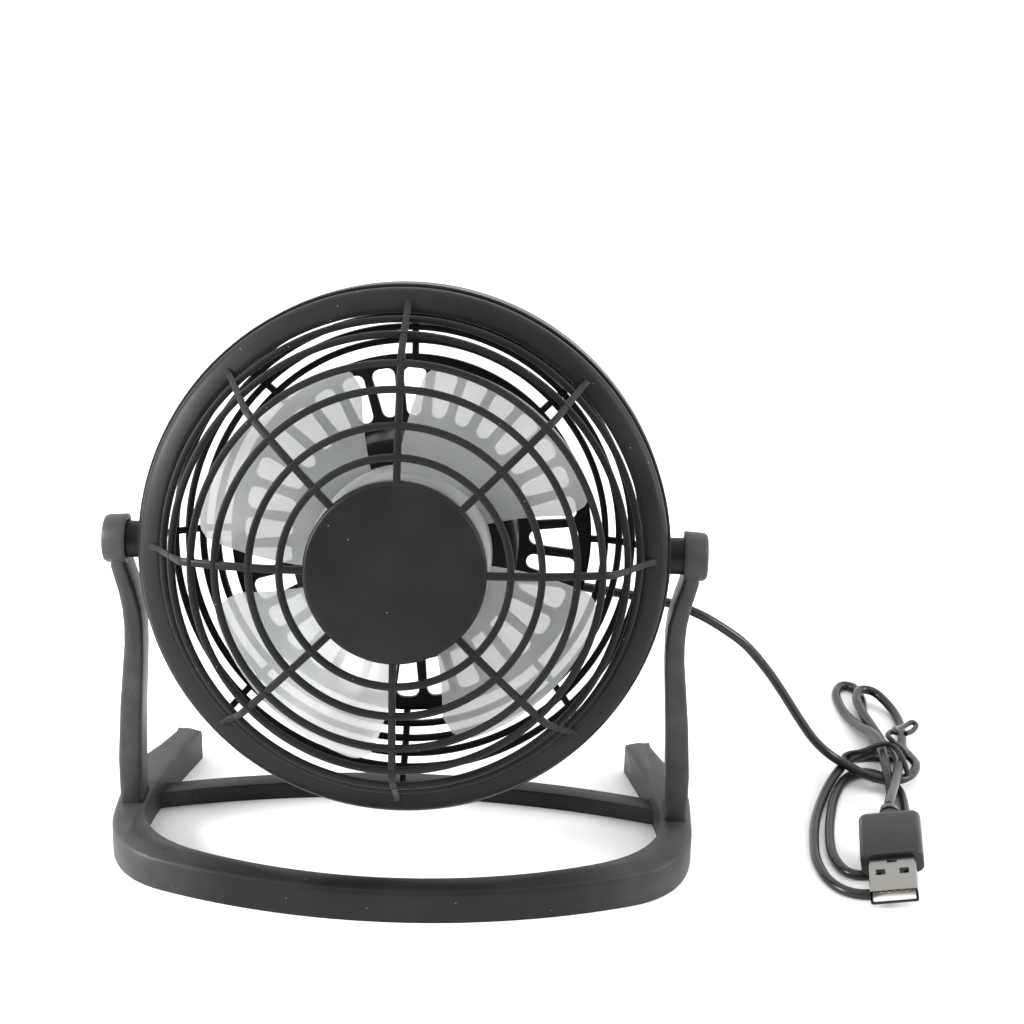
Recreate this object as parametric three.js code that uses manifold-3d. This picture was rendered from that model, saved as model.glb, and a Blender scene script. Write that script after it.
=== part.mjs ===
// A small four-inch desk fan with a tilting head, run from a USB lead.
// Millimetres, +Z up, the fan faces -Y. The origin is on the table under the middle of the fan.
import * as THREE from "three";
import { mergeVertices } from "three/addons/utils/BufferGeometryUtils.js";
import Module from "manifold-3d";

const wasm = await Module();
wasm.setup();

// ---- Driving dimensions ----
const rimRadius = 66; // outside of the head's rim
const rimBack = 6.5; // the rim's back edge, behind the pivot axis
const rimFront = -6.2; // the rim's front edge
const frontReach = 40.4; // hub cap's face, ahead of the pivot axis
const rearReach = 25; // rear disc's face, behind the pivot axis
const hubCapRadius = 21.7;
const discRadius = 46.6;
const discThickness = 2.2;
const floorClearance = 16.6; // under the rim when the head stands upright
const restTilt = THREE.MathUtils.degToRad(15.5); // the head looks up by this much
const pivotBack = 4.7; // pivot axis behind the origin

const touch = 0.3; // between pieces that rest on each other
const running = 0.4; // between pieces that turn or slide
const shellWall = 2.2;
const barWidth = 1.9; // grille bars, across
const barDepth = 2.1; // grille bars, front to back
const spokes = 8;
const spokeInset = 0.25; // spokes are this much thinner than the rings on each face
const round = 32; // sides of a turned piece

const kneeRadius = rimRadius - 14.5; // where the front spokes bend back
const kneeDrop = 7; // the knee behind the hub cap's face
const bezelInner = rimRadius - 6.9;
const bezelFront = -11.8;
const spokeRoot = rimRadius - 4.8;

const knobRadius = 6.2;
const knobWidth = 6;
const bossRadius = 4.8;
const bossReach = 3.4; // free length of the boss between rim and knob
const armDepth = 10;
const armWidth = 5.6;
const armWaist = 2.8; // how far the arm leans in at its waist
const baseHeight = 9.2;
const baseWidth = 8; // across the side rail
const bowWidth = 6.4; // across the front bow
const baseChamfer = 1.3;
const baseFront = -42.7; // front of the bow, from the pivot axis
const toeReach = 36; // end of a toe, from the pivot axis
const toeWidth = 7.4;
const crossbarHeight = 4.8;
const crossbarDepth = 5.4;
const crossbarBow = 10.8; // the crossbar's middle stands this far behind its ends

const bladeCount = 4;
const bladeTipRadius = 48.8;
const bladeFront = -28.5;
const bladeBack = -11;
const bladeThickness = 1.2;
const bladeSpan = THREE.MathUtils.degToRad(70);
const bladeStart = THREE.MathUtils.degToRad(105); // first blade's rear edge, from +X towards +Z
const impellerHubRadius = 22;
const impellerHubFront = -33;
const impellerHubBack = -8.5;

const drumRadius = 28;
const drumFront = -6;
const drumWall = 1.6;
const motorRadius = 12;
const motorLength = 13.4;
const shaftRadius = 1;
const shaftFront = -29;

const slotCount = 32;
const slotInner = 30.6;
const slotOuter = 43.2;
const slotCorner = 1.3;
const slotBar = 2.4; // plastic left between two slots
const screwCircle = drumRadius - 4.7; // just inside the drum's wall
const screwCount = 3;
const screwHeadRadius = 2.75;
const screwHeadHeight = 1.7;
const screwShankRadius = 1.3;
const screwLength = 8;

const switchHeight = 10.4; // switch above the head's axis
const switchLength = 14.8;
const switchWidth = 10.3;
const switchFlange = 1.6;
const switchBodyDepth = 9.5;
const terminalLength = 3;
const terminalThickness = 0.6;
const rockerLength = 10.2;
const rockerWidth = 6;
const rockerThrow = THREE.MathUtils.degToRad(10); // to each side of level

const cordRadius = 1.3;
const cordExit = -15.2; // cord below the head's axis
const glandRadius = 3.2;
const plugWidth = 16;
const plugHeight = 7.4;
const plugLength = 17;
const plugShellWidth = 12;
const plugShellHeight = 4.5;
const plugShellLength = 12;
const plugShellWall = 0.4;
const plugPlace = new THREE.Vector3(125.7, -13.1, 6.6); // middle of the overmould's front face
const plugPitch = THREE.MathUtils.degToRad(9.5); // nose down
const plugRoll = THREE.MathUtils.degToRad(-11);
const plugYaw = THREE.MathUtils.degToRad(-3.3);

const pivotHeight = rimRadius + floorClearance;
const knobInner = rimRadius + bossReach;
const knobOuter = knobInner + knobWidth;

// ---- Materials ----
const finish = (color, roughness, metalness = 0) =>
  new THREE.MeshStandardMaterial({ color, roughness, metalness });
const blackPlastic = finish(0x343638, 0.5);
const softBlack = finish(0x2b2c2e, 0.6);
const frosted = finish(0xd5d8da, 0.35);
const steel = finish(0xb9bcbf, 0.3, 1);
const copper = finish(0xb87333, 0.35, 1);
const bronze = finish(0x9c7a4a, 0.4, 1);
const ferrite = finish(0x3b3836, 0.7);
const gold = finish(0xd4af5a, 0.3, 1);
const white = finish(0xe9e9e6, 0.5);
const redWire = finish(0xa8201c, 0.5);

// ---- Solids: closed meshes that can be joined and cut ----
function solid(geometry) {
  const bare = geometry.clone();
  bare.deleteAttribute("normal");
  bare.deleteAttribute("uv");
  const merged = mergeVertices(bare, 1e-4);
  return new wasm.Manifold(
    new wasm.Mesh({
      numProp: 3,
      vertProperties: new Float32Array(merged.attributes.position.array),
      triVerts: new Uint32Array(merged.index.array),
    }),
  );
}

function skin(body) {
  const mesh = body.getMesh();
  const geometry = new THREE.BufferGeometry();
  geometry.setAttribute("position", new THREE.BufferAttribute(mesh.vertProperties, 3));
  geometry.setIndex(new THREE.BufferAttribute(mesh.triVerts, 1));
  geometry.computeVertexNormals();
  return geometry;
}

const join = (bodies) => bodies.reduce((sum, body) => sum.add(body));
const cut = (body, tools) => tools.reduce((rest, tool) => rest.subtract(tool), body);

// A solid of revolution about Y. The profile runs anticlockwise as [radius, y] pairs.
function turned(profile, sides = round) {
  const points = profile.map(([radius, y]) => new THREE.Vector2(radius, y));
  if (points[0].x > 0) points.push(points[0].clone());
  return solid(new THREE.LatheGeometry(points, sides));
}

// A tube wall about Y between two radii and two heights.
const sleeve = (inner, outer, low, high, sides = round) =>
  turned([[inner, low], [outer, low], [outer, high], [inner, high]], sides);

const disc = (radius, low, high, sides = round) =>
  turned([[0, low], [radius, low], [radius, high], [0, high]], sides);

const block = (width, depth, height, x, y, z) =>
  solid(new THREE.BoxGeometry(width, depth, height).translate(x, y, z));

const flat = (points, depth) =>
  new THREE.ExtrudeGeometry(new THREE.Shape(points), { depth, bevelEnabled: false });

const at = (x, y) => new THREE.Vector2(x, y);

// A tube along a smooth curve through the points.
function tube(points, radius, sides, steps) {
  const ring = Array.from({ length: sides }, (_, i) => {
    const turn = (2 * Math.PI * i) / sides;
    return at(radius * Math.cos(turn), radius * Math.sin(turn));
  });
  const path = new THREE.CatmullRomCurve3(points.map((p) => new THREE.Vector3(...p)));
  return new THREE.ExtrudeGeometry(new THREE.Shape(ring), {
    steps,
    bevelEnabled: false,
    extrudePath: path,
  });
}

const fan = new THREE.Group();

function part(group, name, body, material) {
  const mesh = new THREE.Mesh(body.isBufferGeometry ? body : skin(body), material);
  mesh.name = name;
  group.add(mesh);
  return mesh;
}

// ---- Stand: one moulding of front bow, side rails, toes, crossbar, arms and pivot knobs ----
const baseHalf = knobOuter - 0.4;
const bowRadius = 165;
const bowEnd = baseHalf - 16; // where the bow turns into the corner
const railFront = -6;
const railBack = 6;

function standOutline() {
  const outer = new THREE.Path();
  const bowCentre = baseFront + bowRadius;
  outer.absarc(0, bowCentre, bowRadius, -Math.PI / 2, -Math.PI / 2 + Math.asin(bowEnd / bowRadius), false);
  const slope = Math.tan(Math.asin(bowEnd / bowRadius));
  const bowEndY = bowCentre - Math.sqrt(bowRadius ** 2 - bowEnd ** 2);
  outer.quadraticCurveTo(baseHalf, bowEndY + slope * (baseHalf - bowEnd), baseHalf, railFront);
  outer.lineTo(baseHalf, railBack);
  outer.quadraticCurveTo(baseHalf, railBack + 12, baseHalf - 6.2, railBack + 22);
  outer.lineTo(baseHalf - 9.4, toeReach - 1);
  outer.quadraticCurveTo(baseHalf - 11, toeReach + 2, baseHalf - 13.6, toeReach + 1.6);
  outer.lineTo(baseHalf - 9.4 - toeWidth, toeReach);

  const inner = new THREE.Path();
  const innerFront = baseFront + bowWidth;
  const innerRadius = bowRadius - 29;
  const innerEnd = baseHalf - 26;
  const innerCentre = innerFront + innerRadius;
  const innerSlope = Math.tan(Math.asin(innerEnd / innerRadius));
  const innerEndY = innerCentre - Math.sqrt(innerRadius ** 2 - innerEnd ** 2);
  const innerSide = baseHalf - baseWidth;
  inner.absarc(0, innerCentre, innerRadius, -Math.PI / 2, -Math.PI / 2 + Math.asin(innerEnd / innerRadius), false);
  inner.quadraticCurveTo(innerSide, innerEndY + innerSlope * (innerSide - innerEnd), innerSide, railFront + 2);
  inner.lineTo(innerSide, railBack);
  inner.lineTo(baseHalf - 13, railBack + 17);

  const right = [...outer.getPoints(6), ...inner.getPoints(6).reverse()];
  const left = right.slice(1, -1).reverse().map((p) => at(-p.x, p.y));
  return [...right, ...left].filter((p, i, all) => i === 0 || p.distanceTo(all[i - 1]) > 0.05);
}

function stand() {
  const plan = new THREE.ExtrudeGeometry(new THREE.Shape(standOutline()), {
    depth: baseHeight,
    bevelEnabled: true,
    bevelSegments: 1,
    bevelThickness: baseChamfer,
    bevelSize: baseChamfer,
    bevelOffset: -baseChamfer,
  });
  const under = block(4 * baseHalf, 400, 2 * baseChamfer, 0, 0, -baseChamfer);
  const loop = cut(solid(plan.translate(0, 0, -baseChamfer)), [under]);

  const barEnd = baseHalf - baseWidth + 1.5;
  const barMiddle = 18;
  const steps = 10;
  const barEdge = (offset) =>
    Array.from({ length: steps + 1 }, (_, i) => {
      const x = barEnd * ((2 * i) / steps - 1);
      return at(x, barMiddle + offset - crossbarBow * (x / barEnd) ** 2);
    });
  const crossbar = flat([...barEdge(0), ...barEdge(crossbarDepth).reverse()], crossbarHeight);

  const bodies = [loop, solid(crossbar)];
  const footOut = baseHalf - 1.3;
  const knobLow = pivotHeight - knobRadius + 1;
  const waistHeight = pivotHeight - 22;
  for (const side of [-1, 1]) {
    const outline = [
      [footOut, 1],
      [footOut, 22],
      [footOut - 1, 37],
      [footOut - armWaist, waistHeight - 6],
      [footOut - armWaist - 0.1, waistHeight + 2],
      [footOut - armWaist + 1, waistHeight + 9],
      [footOut - 0.2, knobLow],
      [footOut - armWidth + 0.6, knobLow],
      [footOut - armWidth - 1.4, waistHeight + 7],
      [footOut - armWidth - 2.2, waistHeight],
      [footOut - armWidth - 1.6, waistHeight - 16],
      [footOut - armWidth - 0.7, 24],
      [footOut - armWidth, 1],
    ].map(([x, z]) => at(side * x, z));
    const arm = flat(outline, armDepth).rotateX(Math.PI / 2).translate(0, armDepth / 2, 0);
    const socketDepth = knobWidth - 2;
    const knob = turned([
      [0, socketDepth],
      [bossRadius + running, socketDepth],
      [bossRadius + running, 0],
      [knobRadius, 0],
      [knobRadius - 0.2, knobWidth - 1.2],
      [knobRadius - 1.2, knobWidth],
      [0, knobWidth],
    ], 24);
    const turn = new THREE.Matrix4().makeRotationZ((-side * Math.PI) / 2);
    const placed = solid(skin(knob).applyMatrix4(turn).translate(side * knobInner, 0, pivotHeight));
    const socket = solid(
      skin(disc(bossRadius + running, -1, socketDepth, 24))
        .applyMatrix4(turn)
        .translate(side * knobInner, 0, pivotHeight),
    );
    bodies.push(cut(solid(arm), [socket]), placed);
  }
  return join(bodies);
}

const standGroup = new THREE.Group();
standGroup.position.set(0, pivotBack, 0);
fan.add(standGroup);
part(standGroup, "stand", stand(), blackPlastic);

// ---- Head: everything below is drawn upright about its own axis, Y, then tilted ----
const head = new THREE.Group();
head.position.set(0, pivotBack, pivotHeight);
head.rotation.x = -restTilt;
fan.add(head);

const turnTo = (body, angle) => solid(skin(body).rotateY(angle));
const aroundAxis = (count, make, start = 0) =>
  Array.from({ length: count }, (_, i) => turnTo(make, start + (2 * Math.PI * i) / count));

// Front faces of the grille bars: a shallow dome out to the knee, then straight back to the bezel.
const rootDepth = -9.4;
function frontLine(radius) {
  if (radius <= kneeRadius) {
    const share = Math.max(0, radius - hubCapRadius) / (kneeRadius - hubCapRadius);
    return -frontReach + 0.3 + kneeDrop * share ** 2;
  }
  const kneeDepth = -frontReach + 0.3 + kneeDrop;
  return kneeDepth + ((rootDepth - kneeDepth) * (radius - kneeRadius)) / (spokeRoot - kneeRadius);
}
const domeRings = [0.184, 0.431, 0.709, 0.91]; // places between hub cap and knee
const slopeRings = [0.35, 0.67]; // places between knee and bezel

// A spoke is a thin plate whose front edge follows the line of the grille, just inside the rings.
function spoke(edge) {
  const near = edge.map(([radius, y]) => at(radius, y + spokeInset));
  const far = edge.map(([radius, y]) => at(radius, y + barDepth - spokeInset));
  const plate = flat([...near, ...far.reverse()], barWidth);
  return solid(plate.translate(0, 0, -barWidth / 2));
}

function frontGrille() {
  const cap = turned([
    [0, -frontReach],
    [hubCapRadius - 0.6, -frontReach],
    [hubCapRadius, -frontReach + 0.6],
    [hubCapRadius, -frontReach + 3.6],
    [hubCapRadius - 1.6, -frontReach + 3.6],
    [hubCapRadius - 1.6, -frontReach + 2],
    [0, -frontReach + 2],
  ]);
  const ringAt = (radius) => {
    const front = frontLine(radius);
    return sleeve(radius - barWidth / 2, radius + barWidth / 2, front, front + barDepth);
  };
  const rings = [
    ...domeRings.map((share) => ringAt(hubCapRadius + share * (kneeRadius - hubCapRadius))),
    ...slopeRings.map((share) => ringAt(kneeRadius + share * (spokeRoot - kneeRadius))),
  ];
  const bezelOuter = rimRadius - 0.8;
  const bezelEdge = rimFront - touch;
  const spigot = rimRadius - shellWall - touch;
  const bezel = turned([
    [bezelInner, bezelFront],
    [bezelOuter, bezelEdge - 0.5],
    [bezelOuter, bezelEdge],
    [spigot, bezelEdge],
    [spigot, bezelEdge + 3.4],
    [spigot - 1.6, bezelEdge + 3.4],
    [spigot - 1.6, bezelEdge - 1.2],
    [bezelInner, bezelFront + 2],
  ]);
  const middle = (hubCapRadius + kneeRadius) / 2;
  const radii = [hubCapRadius - 1, middle - 6, middle + 6, kneeRadius, spokeRoot + 0.6];
  const bars = aroundAxis(spokes, spoke(radii.map((radius) => [radius, frontLine(radius)])));
  return join([cap, bezel, ...rings, ...bars]);
}
part(head, "front_grille", frontGrille(), blackPlastic);

// ---- Rear shell: rim with pivot bosses, basket bars and the slotted disc ----
const discInside = rearReach - discThickness;
const basketOuter = rimRadius - shellWall / 2;
const basketRings = [0.2, 0.39, 0.565, 0.72]; // places between disc and rim
function rearLine(radius) {
  const share = (radius - discRadius) / (basketOuter - discRadius);
  return rearReach - (rearReach - rimBack) * share ** 2;
}

function slot() {
  const innerHalf = (Math.PI * (slotInner + 1)) / slotCount - slotBar / 2;
  const outerHalf = (Math.PI * (slotOuter - 1)) / slotCount - slotBar / 2;
  const shape = new THREE.Shape();
  shape.moveTo(slotOuter - slotCorner, outerHalf);
  shape.absarc(slotInner + innerHalf, 0, innerHalf, Math.PI / 2, (3 * Math.PI) / 2, false);
  shape.lineTo(slotOuter - slotCorner, -outerHalf);
  shape.lineTo(slotOuter, -outerHalf + slotCorner);
  shape.lineTo(slotOuter, outerHalf - slotCorner);
  const hole = new THREE.ExtrudeGeometry(shape, { depth: 8, bevelEnabled: false, curveSegments: 3 });
  return solid(hole.rotateX(-Math.PI / 2).translate(0, rearReach - 5, 0));
}

const screwAngles = Array.from({ length: screwCount }, (_, i) => Math.PI / 2 + (2 * Math.PI * i) / screwCount);
const onScrewCircle = (angle) => [screwCircle * Math.cos(angle), screwCircle * Math.sin(angle)];

function rearShell() {
  const plate = turned([
    [0, discInside],
    [discRadius, discInside],
    [discRadius, rearReach + 0.8],
    [discRadius - 2.2, rearReach + 0.8],
    [discRadius - 2.8, rearReach],
    [0, rearReach],
  ]);
  const holes = screwAngles.map((angle) => {
    const [x, z] = onScrewCircle(angle);
    const hole = skin(disc(screwShankRadius + running, discInside - 1, rearReach + 1, 16));
    return solid(hole.translate(x, 0, z));
  });
  const opening = block(
    switchLength - 1.6 + 2 * touch, 10, switchWidth - 1.6 + 2 * touch, 0, rearReach, switchHeight,
  );
  const outlet = solid(
    skin(disc(glandRadius - 1 + touch, discInside - 1, rearReach + 1, 20)).translate(0, 0, cordExit),
  );
  const pierced = cut(plate, [...aroundAxis(slotCount, slot()), ...holes, opening, outlet]);

  const rings = basketRings.map((share) => {
    const radius = discRadius + share * (basketOuter - discRadius);
    const back = rearLine(radius);
    return sleeve(radius - barWidth / 2, radius + barWidth / 2, back - barDepth, back);
  });
  const shares = [-0.05, 0.3, 0.65, 1];
  const radii = shares.map((share) => discRadius + share * (basketOuter - discRadius));
  const bars = aroundAxis(spokes, spoke(radii.map((radius) => [radius, rearLine(radius) - barDepth])));
  const rim = sleeve(rimRadius - shellWall, rimRadius, rimFront, rimBack);
  const bosses = [-1, 1].map((side) => {
    const boss = disc(bossRadius, 0, bossReach + knobWidth - 2 - 2 * running + shellWall - 0.4, 24);
    return solid(
      skin(boss)
        .rotateZ((-side * Math.PI) / 2)
        .translate(side * (rimRadius - shellWall + 0.4), 0, 0),
    );
  });
  return join([pierced, rim, ...rings, ...bars, ...bosses]);
}
part(head, "rear_shell", rearShell(), blackPlastic);

// ---- Motor cover: the drum behind the impeller, held to the rear disc by three screws ----
const drumBack = discInside - touch;
const motorFront = drumFront + drumWall + touch;
const motorBoss = 3;
function motorCover() {
  const wall = turned([
    [motorBoss + touch, drumFront],
    [drumRadius - 1.5, drumFront],
    [drumRadius, drumFront + 1.5],
    [drumRadius, drumBack],
    [drumRadius - drumWall, drumBack],
    [drumRadius - drumWall, drumFront + drumWall],
    [motorBoss + touch, drumFront + drumWall],
  ]);
  const postFront = drumBack - screwLength - 3;
  const posts = screwAngles.map((angle) => {
    const [x, z] = onScrewCircle(angle);
    const post = turned([
      [0, postFront],
      [3.6, postFront],
      [3.6, drumBack],
      [screwShankRadius + touch, drumBack],
      [screwShankRadius + touch, postFront + 2],
      [0, postFront + 2],
    ], 16);
    return solid(skin(post).translate(x, 0, z));
  });
  return join([wall, ...posts]);
}
part(head, "motor_cover", motorCover(), softBlack);

screwAngles.forEach((angle, i) => {
  const [x, z] = onScrewCircle(angle);
  const under = rearReach + touch;
  const tip = drumBack - screwLength + 1;
  const screw = turned([
    [0, tip],
    [screwShankRadius, tip + 1],
    [screwShankRadius, under],
    [screwHeadRadius, under],
    [screwHeadRadius, under + 0.7],
    [screwHeadRadius - 1, under + screwHeadHeight],
    [0, under + screwHeadHeight],
  ], 16);
  const wing = (turn) =>
    turnTo(block(2.6, 1.6, 0.6, 0, under + screwHeadHeight, 0), turn);
  const crossed = cut(screw, [wing(0.4), wing(0.4 + Math.PI / 2)]);
  part(head, `rear_screw_${i + 1}`, crossed, steel).position.set(x, 0, z);
});

// ---- Motor: steel can with magnets and armature, turning the impeller's shaft ----
const canWall = 0.8;
const canBack = motorFront + motorLength;
const bushRadius = 2.2;
const shaftHole = shaftRadius + running;
part(head, "motor_can", turned([
  [shaftHole, drumFront - 0.8],
  [motorBoss, drumFront - 0.8],
  [motorBoss, motorFront],
  [motorRadius, motorFront],
  [motorRadius, canBack],
  [motorRadius - canWall, canBack],
  [motorRadius - canWall, motorFront + canWall],
  [bushRadius + touch, motorFront + canWall],
  [bushRadius + touch, drumFront + 0.4],
  [shaftHole, drumFront + 0.4],
], 24), steel);
part(head, "front_bush", sleeve(shaftHole, bushRadius, drumFront + 0.4 + touch, motorFront + canWall + 0.6, 20), bronze);

const capFront = canBack - 2.4;
const capBack = canBack + 0.6;
part(head, "motor_end_cap", turned([
  [shaftHole, capBack],
  [shaftHole, capBack - 0.8],
  [bushRadius + touch, capBack - 0.8],
  [bushRadius + touch, capFront],
  [motorRadius - canWall - touch, capFront],
  [motorRadius - canWall - touch, canBack + touch],
  [motorRadius - 0.2, canBack + touch],
  [motorRadius - 0.2, capBack],
], 24), white);
part(head, "rear_bush", sleeve(shaftHole, bushRadius, capFront + 0.2, capBack - 0.8 - touch, 20), bronze);

const magnetOuter = motorRadius - canWall - running;
const magnetInner = magnetOuter - 1.8;
["magnet_left", "magnet_right"].forEach((name, i) => {
  const arc = new THREE.Shape();
  const half = THREE.MathUtils.degToRad(62);
  arc.absarc(0, 0, magnetOuter, -half, half, false);
  arc.absarc(0, 0, magnetInner, half, -half, true);
  const length = capFront - motorFront - canWall - 2 * touch;
  const magnet = new THREE.ExtrudeGeometry(arc, { depth: length, bevelEnabled: false, curveSegments: 10 });
  magnet.rotateX(-Math.PI / 2).translate(0, motorFront + canWall + touch, 0);
  part(head, name, magnet, ferrite).rotation.y = i * Math.PI + Math.PI;
});

// ---- Spinning pieces: impeller, shaft, armature and commutator ----
const rotor = new THREE.Group();
head.add(rotor);

// A blade is a flat plate bent round the axis: x runs out from it, y through it and z round it.
function blade(index) {
  const plate = new THREE.BoxGeometry(1, 1, 1, 3, 1, 8);
  const place = plate.attributes.position;
  const root = impellerHubRadius - 0.8;
  const cornerRound = 6;
  for (let i = 0; i < place.count; i++) {
    const along = place.getZ(i) + 0.5;
    const out = place.getX(i) + 0.5;
    const fromEnd = Math.min(along, 1 - along) * bladeSpan * bladeTipRadius;
    const drop = fromEnd < cornerRound ? cornerRound - Math.sqrt(cornerRound ** 2 - (cornerRound - fromEnd) ** 2) : 0;
    const radius = root + out * (bladeTipRadius - drop - root);
    const sweep = THREE.MathUtils.degToRad(7) * (1 - out);
    const angle = bladeStart + sweep + (index * 2 * Math.PI) / bladeCount + along * bladeSpan;
    const camber = 1.6 * 4 * along * (1 - along);
    const middle = bladeBack + (bladeFront - bladeBack) * along + camber;
    const y = middle + place.getY(i) * bladeThickness;
    place.setXYZ(i, radius * Math.cos(angle), y, radius * Math.sin(angle));
  }
  return solid(plate);
}

function impeller() {
  const bossOut = 3.2;
  const hub = turned([
    [0, impellerHubFront],
    [impellerHubRadius - 1.2, impellerHubFront],
    [impellerHubRadius, impellerHubFront + 1.2],
    [impellerHubRadius, impellerHubBack],
    [impellerHubRadius - 1.5, impellerHubBack],
    [impellerHubRadius - 1.5, impellerHubFront + 1.6],
    [bossOut, impellerHubFront + 1.6],
    [bossOut, drumFront - 5],
    [shaftRadius + touch, drumFront - 5],
    [shaftRadius + touch, shaftFront - touch],
    [0, shaftFront - touch],
  ]);
  return join([hub, ...Array.from({ length: bladeCount }, (_, i) => blade(i))]);
}
part(rotor, "impeller", impeller(), frosted);
part(rotor, "motor_shaft", disc(shaftRadius, shaftFront, capBack + 0.8, 16), steel);
const armatureFront = motorFront + canWall + 1.4;
const armatureRadius = magnetInner - 0.6;
part(rotor, "armature", sleeve(shaftRadius + touch, armatureRadius, armatureFront, capFront - 3.2, 24), copper);
part(rotor, "commutator", sleeve(shaftRadius + touch, 2.6, capFront - 2.8, capFront - 0.4, 16), gold);

// ---- Rocker switch in the rear disc, with its own rocker, and two solder terminals ----
const flangeBack = rearReach + touch + switchFlange;
const rockerPivot = rearReach - 1.4;
const mouthLength = rockerLength + 2;
const mouthWidth = rockerWidth + 2 * running;
const pinRadius = 0.8;
const bodyFront = rearReach - switchBodyDepth;
function switchBody() {
  const flange = block(
    switchLength, switchFlange, switchWidth, 0, flangeBack - switchFlange / 2, switchHeight,
  );
  const body = block(
    switchLength - 1.6, switchBodyDepth + 1, switchWidth - 1.6,
    0, bodyFront + (switchBodyDepth + 1) / 2, switchHeight,
  );
  const well = block(mouthLength, 20, mouthWidth, 0, bodyFront + 2 + 10, switchHeight);
  const bearing = solid(
    skin(disc(pinRadius + running, -mouthWidth / 2 - 0.9, mouthWidth / 2 + 0.9, 12))
      .rotateX(Math.PI / 2)
      .translate(0, rockerPivot, switchHeight),
  );
  return cut(join([flange, body]), [well, bearing]);
}
part(head, "switch_body", switchBody(), softBlack);
[-3.6, 3.6].forEach((x, i) => {
  const tongue = new THREE.BoxGeometry(2.8, terminalLength, terminalThickness);
  tongue.translate(x, bodyFront - touch - terminalLength / 2, switchHeight);
  part(head, `switch_terminal_${i + 1}`, tongue, gold);
});

// The rocker's face is a shallow V, so one half lies level with the frame when the other is up.
function rocker() {
  const half = rockerLength / 2;
  const rise = half * Math.tan(rockerThrow);
  const top = flangeBack - 0.5 - rockerPivot;
  const outline = [
    [-half, top + rise],
    [-half + 0.4, top - 2.2],
    [-2.4, -2.2],
    [2.4, -2.2],
    [half - 0.4, top - 2.2],
    [half, top + rise],
    [0, top],
  ].map(([x, y]) => at(x, y));
  const paddle = flat(outline, rockerWidth).translate(0, 0, -rockerWidth / 2);
  const pin = skin(disc(pinRadius, -mouthWidth / 2 - 0.5, mouthWidth / 2 + 0.5, 12)).rotateX(Math.PI / 2);
  return join([solid(paddle), solid(pin)]);
}
const rockerMesh = part(head, "rocker", rocker(), softBlack);
rockerMesh.position.set(0, rockerPivot, switchHeight);
rockerMesh.rotation.z = rockerThrow;

// ---- Wiring inside the drum, and the gland where the lead comes out ----
const wire = 0.6;
const glandFront = discInside - 3;
part(head, "cord_gland", skin(turned([
  [0, glandFront],
  [glandRadius, glandFront],
  [glandRadius, discInside - touch],
  [glandRadius - 1, discInside - touch],
  [glandRadius - 1, rearReach + touch],
  [glandRadius, rearReach + touch],
  [glandRadius - 0.4, rearReach + touch + 1.4],
  [0, rearReach + touch + 1.4],
], 20)), softBlack).position.set(0, 0, cordExit);
const wireStart = glandFront - touch;
const wireEnd = capBack + touch + 0.2; // where a wire meets the end cap
const solderLevel = switchHeight + terminalThickness / 2 + touch + 0.2; // just over a terminal
const solderDepth = bodyFront - touch - terminalLength / 2;
part(head, "lead_live", tube([
  [-1.2, wireStart, cordExit],
  [-1.2, wireStart - 2, cordExit],
  [-5, wireStart - 4.5, cordExit + 3],
  [-13.6, 13.6, -6],
  [-14.6, 13.4, 5],
  [-9, solderDepth, 12.6],
  [-4.4, solderDepth, 13],
  [-3.6, solderDepth, solderLevel],
], wire, 6, 16), redWire);
part(head, "lead_switched", tube([
  [3.6, solderDepth, solderLevel],
  [4.4, solderDepth, 13],
  [8.4, solderDepth, 12.2],
  [9, 13.4, 5],
  [6.6, 12.6, 0.6],
  [6.2, wireEnd, 0],
], wire, 6, 12), redWire);
part(head, "lead_return", tube([
  [1.2, wireStart, cordExit],
  [1.2, wireStart - 2, cordExit],
  [1.4, 14.4, -12],
  [-2.6, 13, -6],
  [-5, 12.4, -3.4],
  [-5.2, wireEnd, -3],
], wire, 6, 12), softBlack);

// ---- Lead: the free stretch, the tied hank, its tie and the plug, all on the table ----
const outward = new THREE.Vector3(0, Math.cos(restTilt), -Math.sin(restTilt));
const glandEnd = new THREE.Vector3(0, rearReach + touch + 1.4 + touch, cordExit)
  .applyAxisAngle(new THREE.Vector3(1, 0, 0), -restTilt)
  .add(head.position);
const freeLead = [
  glandEnd.toArray(),
  glandEnd.clone().addScaledVector(outward, 3).toArray(),
  [2.4, 34.9, 58.6],
  [10, 40.3, 57.6],
  [22, 42.3, 57.4],
  [36, 41.3, 57.2],
  [52, 38.1, 56.4],
  [66.5, 35.3, 55.2],
  [75.4, 34.3, 52.6],
  [83, 34.7, 48],
  [89.4, 35.7, 42.6],
  [95.4, 36.9, 35],
  [100.2, 38.1, 27.6],
  [105.2, 39.1, 19.4],
  [109.4, 39.7, 13.4],
  [112.6, 39.7, 10.2],
];
part(fan, "cord", tube(freeLead, cordRadius, 8, 44), softBlack);

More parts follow.
